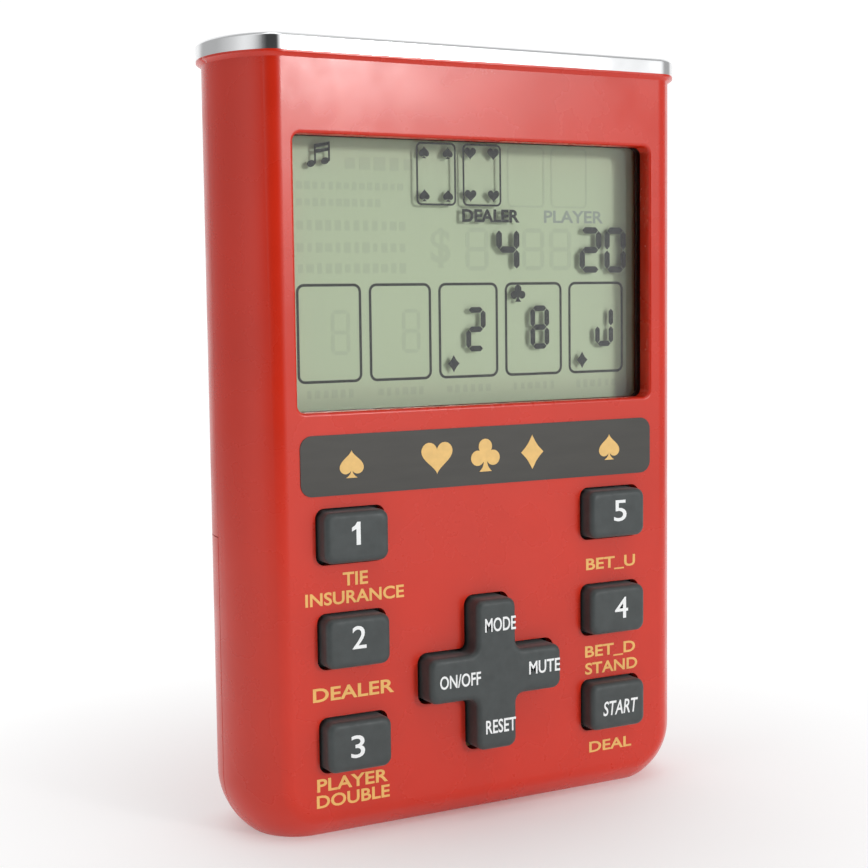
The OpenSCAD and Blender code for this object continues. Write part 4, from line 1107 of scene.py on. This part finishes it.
KEY_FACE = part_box("key_1")[0].y
figure_one = bmesh.new()
ONE = [(0.45, 0), (0.78, 0), (0.78, 1), (0.52, 1), (0.36, 0.86), (0.1, 0.76), (0.1, 0.6), (0.45, 0.7)]
prism(figure_one, [((-23.5 + 2.0 * x) * MM, (43.2 + 3.3 * z) * MM) for x, z in ONE],
      KEY_FACE - INK_LAYER, KEY_FACE + INK_SINK)
tidy_normals(figure_one)
piece("key_1_legend", figure_one, WHITE_INK, body="key_1")
for body, text, x0, x1, z, height in (
        ("key_2", "2", -23.5, -21.3, 29.9, 3.3),
        ("key_3", "3", -24.0, -21.8, 14.07, 3.3), ("key_5", "5", 21.5, 23.85, 44.76, 3.3),
        ("key_4", "4", 21.65, 24.1, 29.5, 3.3), ("key_start", "START", 19.5, 25.8, 13.8, 2.3)):
    style = {"weight": 0.012, "lean": 0.12} if text == "START" else {"weight": 0.006}
    words(body + "_legend", [(text, x0, x1, z, height)], KEY_FACE - INK_LAYER,
          INK_LAYER + INK_SINK, WHITE_INK, "key_rubber", body=body, **style)

CROSS_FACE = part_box("cross_key")[0].y
words("cross_legends", [
    ("MODE", -2.1, 3.2, 29.45, 2.1), ("ON/OFF", -9.8, -2.9, 21.7, 2.0),
    ("MUTE", 5.5, 11.0, 22.15, 2.0), ("RESET", -2.1, 3.1, 14.04, 2.1),
], CROSS_FACE - INK_LAYER, INK_LAYER + INK_SINK, WHITE_INK, "key_rubber", body="cross_key",
    weight=0.015)

words("display_word", [("DEALER", -0.5, 9.55, 90.25, 1.95)], SEGMENT_Y, INK_THICK, SEGMENT,
      "display_glass", weight=0.035)
words("resting_words", [("$", -5.4, -2.0, 85.4, 6.0)],
      PRINT_Y, INK_THICK, GHOST, "display_glass", weight=0.02)
words("resting_word_dark", [("PLAYER", 14.6, 25.6, 90.3, 1.9)], PRINT_Y, INK_THICK, DARK_GHOST,
      "display_glass", weight=0.02)
print("legends made")

# %% [markdown]
# ## Resting rows
# The left part of the display holds rows of small segments that are off. They are too faint to
# read, so a second node tree fills each row with little blocks whose widths vary a bit, from a
# fixed seed. The captions under the five large cards are made in the same way.


# %% A node tree for a row of resting blocks
def resting_row_tree():
    tree, given, result = node_group("resting_row", [
        ("Count", "NodeSocketInt"), ("Pitch", "NodeSocketFloat"), ("Block", "NodeSocketVector"),
        ("Start", "NodeSocketVector"), ("Seed", "NodeSocketInt"), ("Ink", "NodeSocketMaterial"),
    ])
    link = tree.links.new
    block = tree.nodes.new("GeometryNodeMeshCube")
    link(given.outputs["Block"], block.inputs["Size"])
    vary = tree.nodes.new("FunctionNodeRandomValue")
    vary.data_type = "FLOAT_VECTOR"
    vary.inputs[0].default_value = (0.55, 1.0, 0.75)
    vary.inputs[1].default_value = (1.0, 1.0, 1.0)
    link(given.outputs["Seed"], vary.inputs["Seed"])
    inked_row(tree, given, result, block.outputs["Mesh"], vary.outputs[0])
    return tree


RESTING_ROW = resting_row_tree()
ROW_Y = REFLECTOR_FRONT - INK_THICK / 2
BLOCK_SHARE = 0.8
CAPTION_PITCH, CAPTION_W, CAPTION_H = 1.35 * MM, 1.0 * MM, 1.3 * MM
CAPTION_INSET, CAPTION_Z, CAPTION_SEED = 1.6 * MM, 64.2 * MM, 20
ROWS = [(-18.5, 97.6, 2.4, 2.1, 5), (-26.6, 94.3, 1.25, 1.2, 14), (-26.6, 91.9, 1.25, 1.2, 11),
        (-26.6, 88.6, 1.5, 1.6, 12), (-26.6, 85.4, 1.5, 1.6, 12), (-26.6, 82.4, 1.5, 1.6, 12)]
for index, (left, z, pitch, height, count) in enumerate(ROWS):
    run_tree(f"resting_row_{index + 1}", RESTING_ROW, {
        "Count": count, "Pitch": pitch * MM, "Seed": index,
        "Block": (pitch * BLOCK_SHARE * MM, INK_THICK, height * MM),
        "Start": (left * MM, ROW_Y, z * MM), "Ink": GHOST,
    })
for index in range(5):
    run_tree(f"resting_caption_{index + 1}", RESTING_ROW, {
        "Count": 6, "Pitch": CAPTION_PITCH, "Seed": CAPTION_SEED + index,
        "Block": (CAPTION_W, INK_THICK, CAPTION_H),
        "Start": (CARD_LEFT + index * CARD_PITCH + CAPTION_INSET, ROW_Y, CAPTION_Z), "Ink": GHOST,
    })
print("resting rows:", len(ROWS) + 5)

# %% [markdown]
# ## Carried-over nodes
# Every node that still shows gets the procedural finish of its material slot, assigned to its
# own object. The shapes stay exactly as engineered.

# %% Finishes on the engineering nodes
dressed = 0
for row in frame["record"]["subparts"]:
    obj = frame["nodes"][row["node"]]
    if obj.hide_render:
        continue
    obj.data.materials.clear()
    obj.data.materials.append(INNER_FINISHES[row["material_slot"]])
    dressed += 1
print("engineering nodes dressed:", dressed)

# %% [markdown]
# ## Floor and light
# The game stands on a pale floor in a bright, plain studio. The plated cap and the satin case
# mirror their surroundings, and a studio is not equally bright all round: there is a white wall
# at the front right, a tall soft light at the left, and a dark gap between them where the camera
# stands. A ramp round the compass paints this on the world. The floor takes shadows close to the
# game, then glows in plain white, and far out it takes on the ramp too.

# %% The surroundings, as a ramp round the compass
# Degrees from the front, positive to the right, and brightness; 1 is white.
SURROUNDINGS = [(-180, 1.05), (-172, 1.0), (-158, 0.5), (-125, 0.5), (-100, 0.75), (-84, 1.05),
                (-74, 0.9), (-62, 0.2), (-45, 0.06), (-2, 0.06), (14, 1.2), (40, 1.2), (58, 0.45),
                (95, 0.45), (118, 1.05), (180, 1.05)]
PEAK = 1.2
PLAIN_WHITE = (*[1.05 / PEAK] * 3, 1)


def compass_ring(tree, direction):
    """The brightness of the surroundings in a direction, as a share of PEAK, and its height."""
    axes = add(tree, "ShaderNodeSeparateXYZ")
    tree.links.new(direction, axes.inputs["Vector"])
    back = add(tree, "ShaderNodeMath", operation="MULTIPLY")
    back.inputs[1].default_value = -1
    tree.links.new(axes.outputs["Y"], back.inputs[0])
    compass = add(tree, "ShaderNodeMath", operation="ARCTAN2")
    tree.links.new(axes.outputs["X"], compass.inputs[0])
    tree.links.new(back.outputs[0], compass.inputs[1])
    ring = add(tree, "ShaderNodeValToRGB")
    stops = ring.color_ramp.elements
    for degrees, _ in SURROUNDINGS[1:-1]:
        stops.new((degrees + 180) / 360)
    for stop, (degrees, bright) in zip(stops, SURROUNDINGS):
        stop.color = (*[bright / PEAK] * 3, 1)
    tree.links.new(between(tree, compass.outputs[0], 0, 1, -math.pi, math.pi), ring.inputs["Fac"])
    return ring.outputs["Color"], axes.outputs["Z"]


print("surroundings:", len(SURROUNDINGS), "stops")

# %% Floor
FLOOR_HALF = 4.0
FADE_FROM, FADE_TO = 0.0, 0.11
FAR_FROM, FAR_TO = 0.2, 0.45
floor_bm = bmesh.new()
bmesh.ops.create_grid(floor_bm, x_segments=1, y_segments=1, size=FLOOR_HALF)
floor_mesh = bpy.data.meshes.new("floor")
floor_bm.to_mesh(floor_mesh)
floor_bm.free()
floor = bpy.data.objects.new("floor", floor_mesh)
bpy.context.scene.collection.objects.link(floor)
pale = finish("pale_floor", (0.93, 0.93, 0.93), 0.7, tone=0.01, patch=20)
floor_tree = pale.node_tree
place = add(floor_tree, "ShaderNodeTexCoord")
far = add(floor_tree, "ShaderNodeVectorMath", operation="LENGTH")
floor_tree.links.new(place.outputs["Object"], far.inputs[0])
distance = far.outputs["Value"]
glow = add(floor_tree, "ShaderNodeEmission", Strength=PEAK)
ring_colour = compass_ring(floor_tree, place.outputs["Object"])[0]
out = between(floor_tree, distance, 0, 1, FAR_FROM, FAR_TO)
floor_tree.links.new(blend(floor_tree, out, PLAIN_WHITE, ring_colour), glow.inputs["Color"])
fade = add(floor_tree, "ShaderNodeMixShader")
floor_tree.links.new(between(floor_tree, distance, 0, 1, FADE_FROM, FADE_TO), fade.inputs[0])
floor_tree.links.new(floor_tree.nodes["Principled BSDF"].outputs["BSDF"], fade.inputs[1])
floor_tree.links.new(glow.outputs["Emission"], fade.inputs[2])
floor_tree.links.new(fade.outputs["Shader"], floor_tree.nodes["Material Output"].inputs["Surface"])
floor_mesh.materials.append(pale)
print("floor fades to white from", FADE_FROM, "to", FADE_TO, "m")


# %% Lights
LIT_POINT = Vector((0, 0, 0.06))


def soft_light(name, azimuth, elevation, distance, size, power):
    """A square area light that looks at the middle of the game."""
    a, e = math.radians(azimuth), math.radians(elevation)
    way = Vector((math.sin(a) * math.cos(e), -math.cos(a) * math.cos(e), math.sin(e)))
    data = bpy.data.lights.new(name, "AREA")
    data.size = size
    data.energy = power
    obj = bpy.data.objects.new(name, data)
    bpy.context.scene.collection.objects.link(obj)
    obj.location = LIT_POINT + way * distance
    obj.rotation_mode = "QUATERNION"
    obj.rotation_quaternion = (-way).to_track_quat("-Z", "Y")


soft_light("key_light", azimuth=24, elevation=14, distance=1.4, size=0.18, power=5.6)
soft_light("top_light", azimuth=-20, elevation=75, distance=1.2, size=0.9, power=2.6)
print("lights: 2")

# %% World
# Higher up, no direction is brighter than plain white. That comes in between these two heights.
CEILING_FROM, CEILING_TO = 0.02, 0.16
world = bpy.data.worlds.new("studio")
world.use_nodes = True
bpy.context.scene.world = world
sky = world.node_tree
look = add(sky, "ShaderNodeTexCoord")
ring_colour, height = compass_ring(sky, look.outputs["Generated"])
above = between(sky, height, 0, 1, CEILING_FROM, CEILING_TO)
capped = blend(sky, 1, ring_colour, PLAIN_WHITE, blend_type="DARKEN")
sky.links.new(blend(sky, above, ring_colour, capped), sky.nodes["Background"].inputs["Color"])
sky.nodes["Background"].inputs["Strength"].default_value = PEAK
bpy.context.scene.view_settings.view_transform = "Standard"
print("world made")
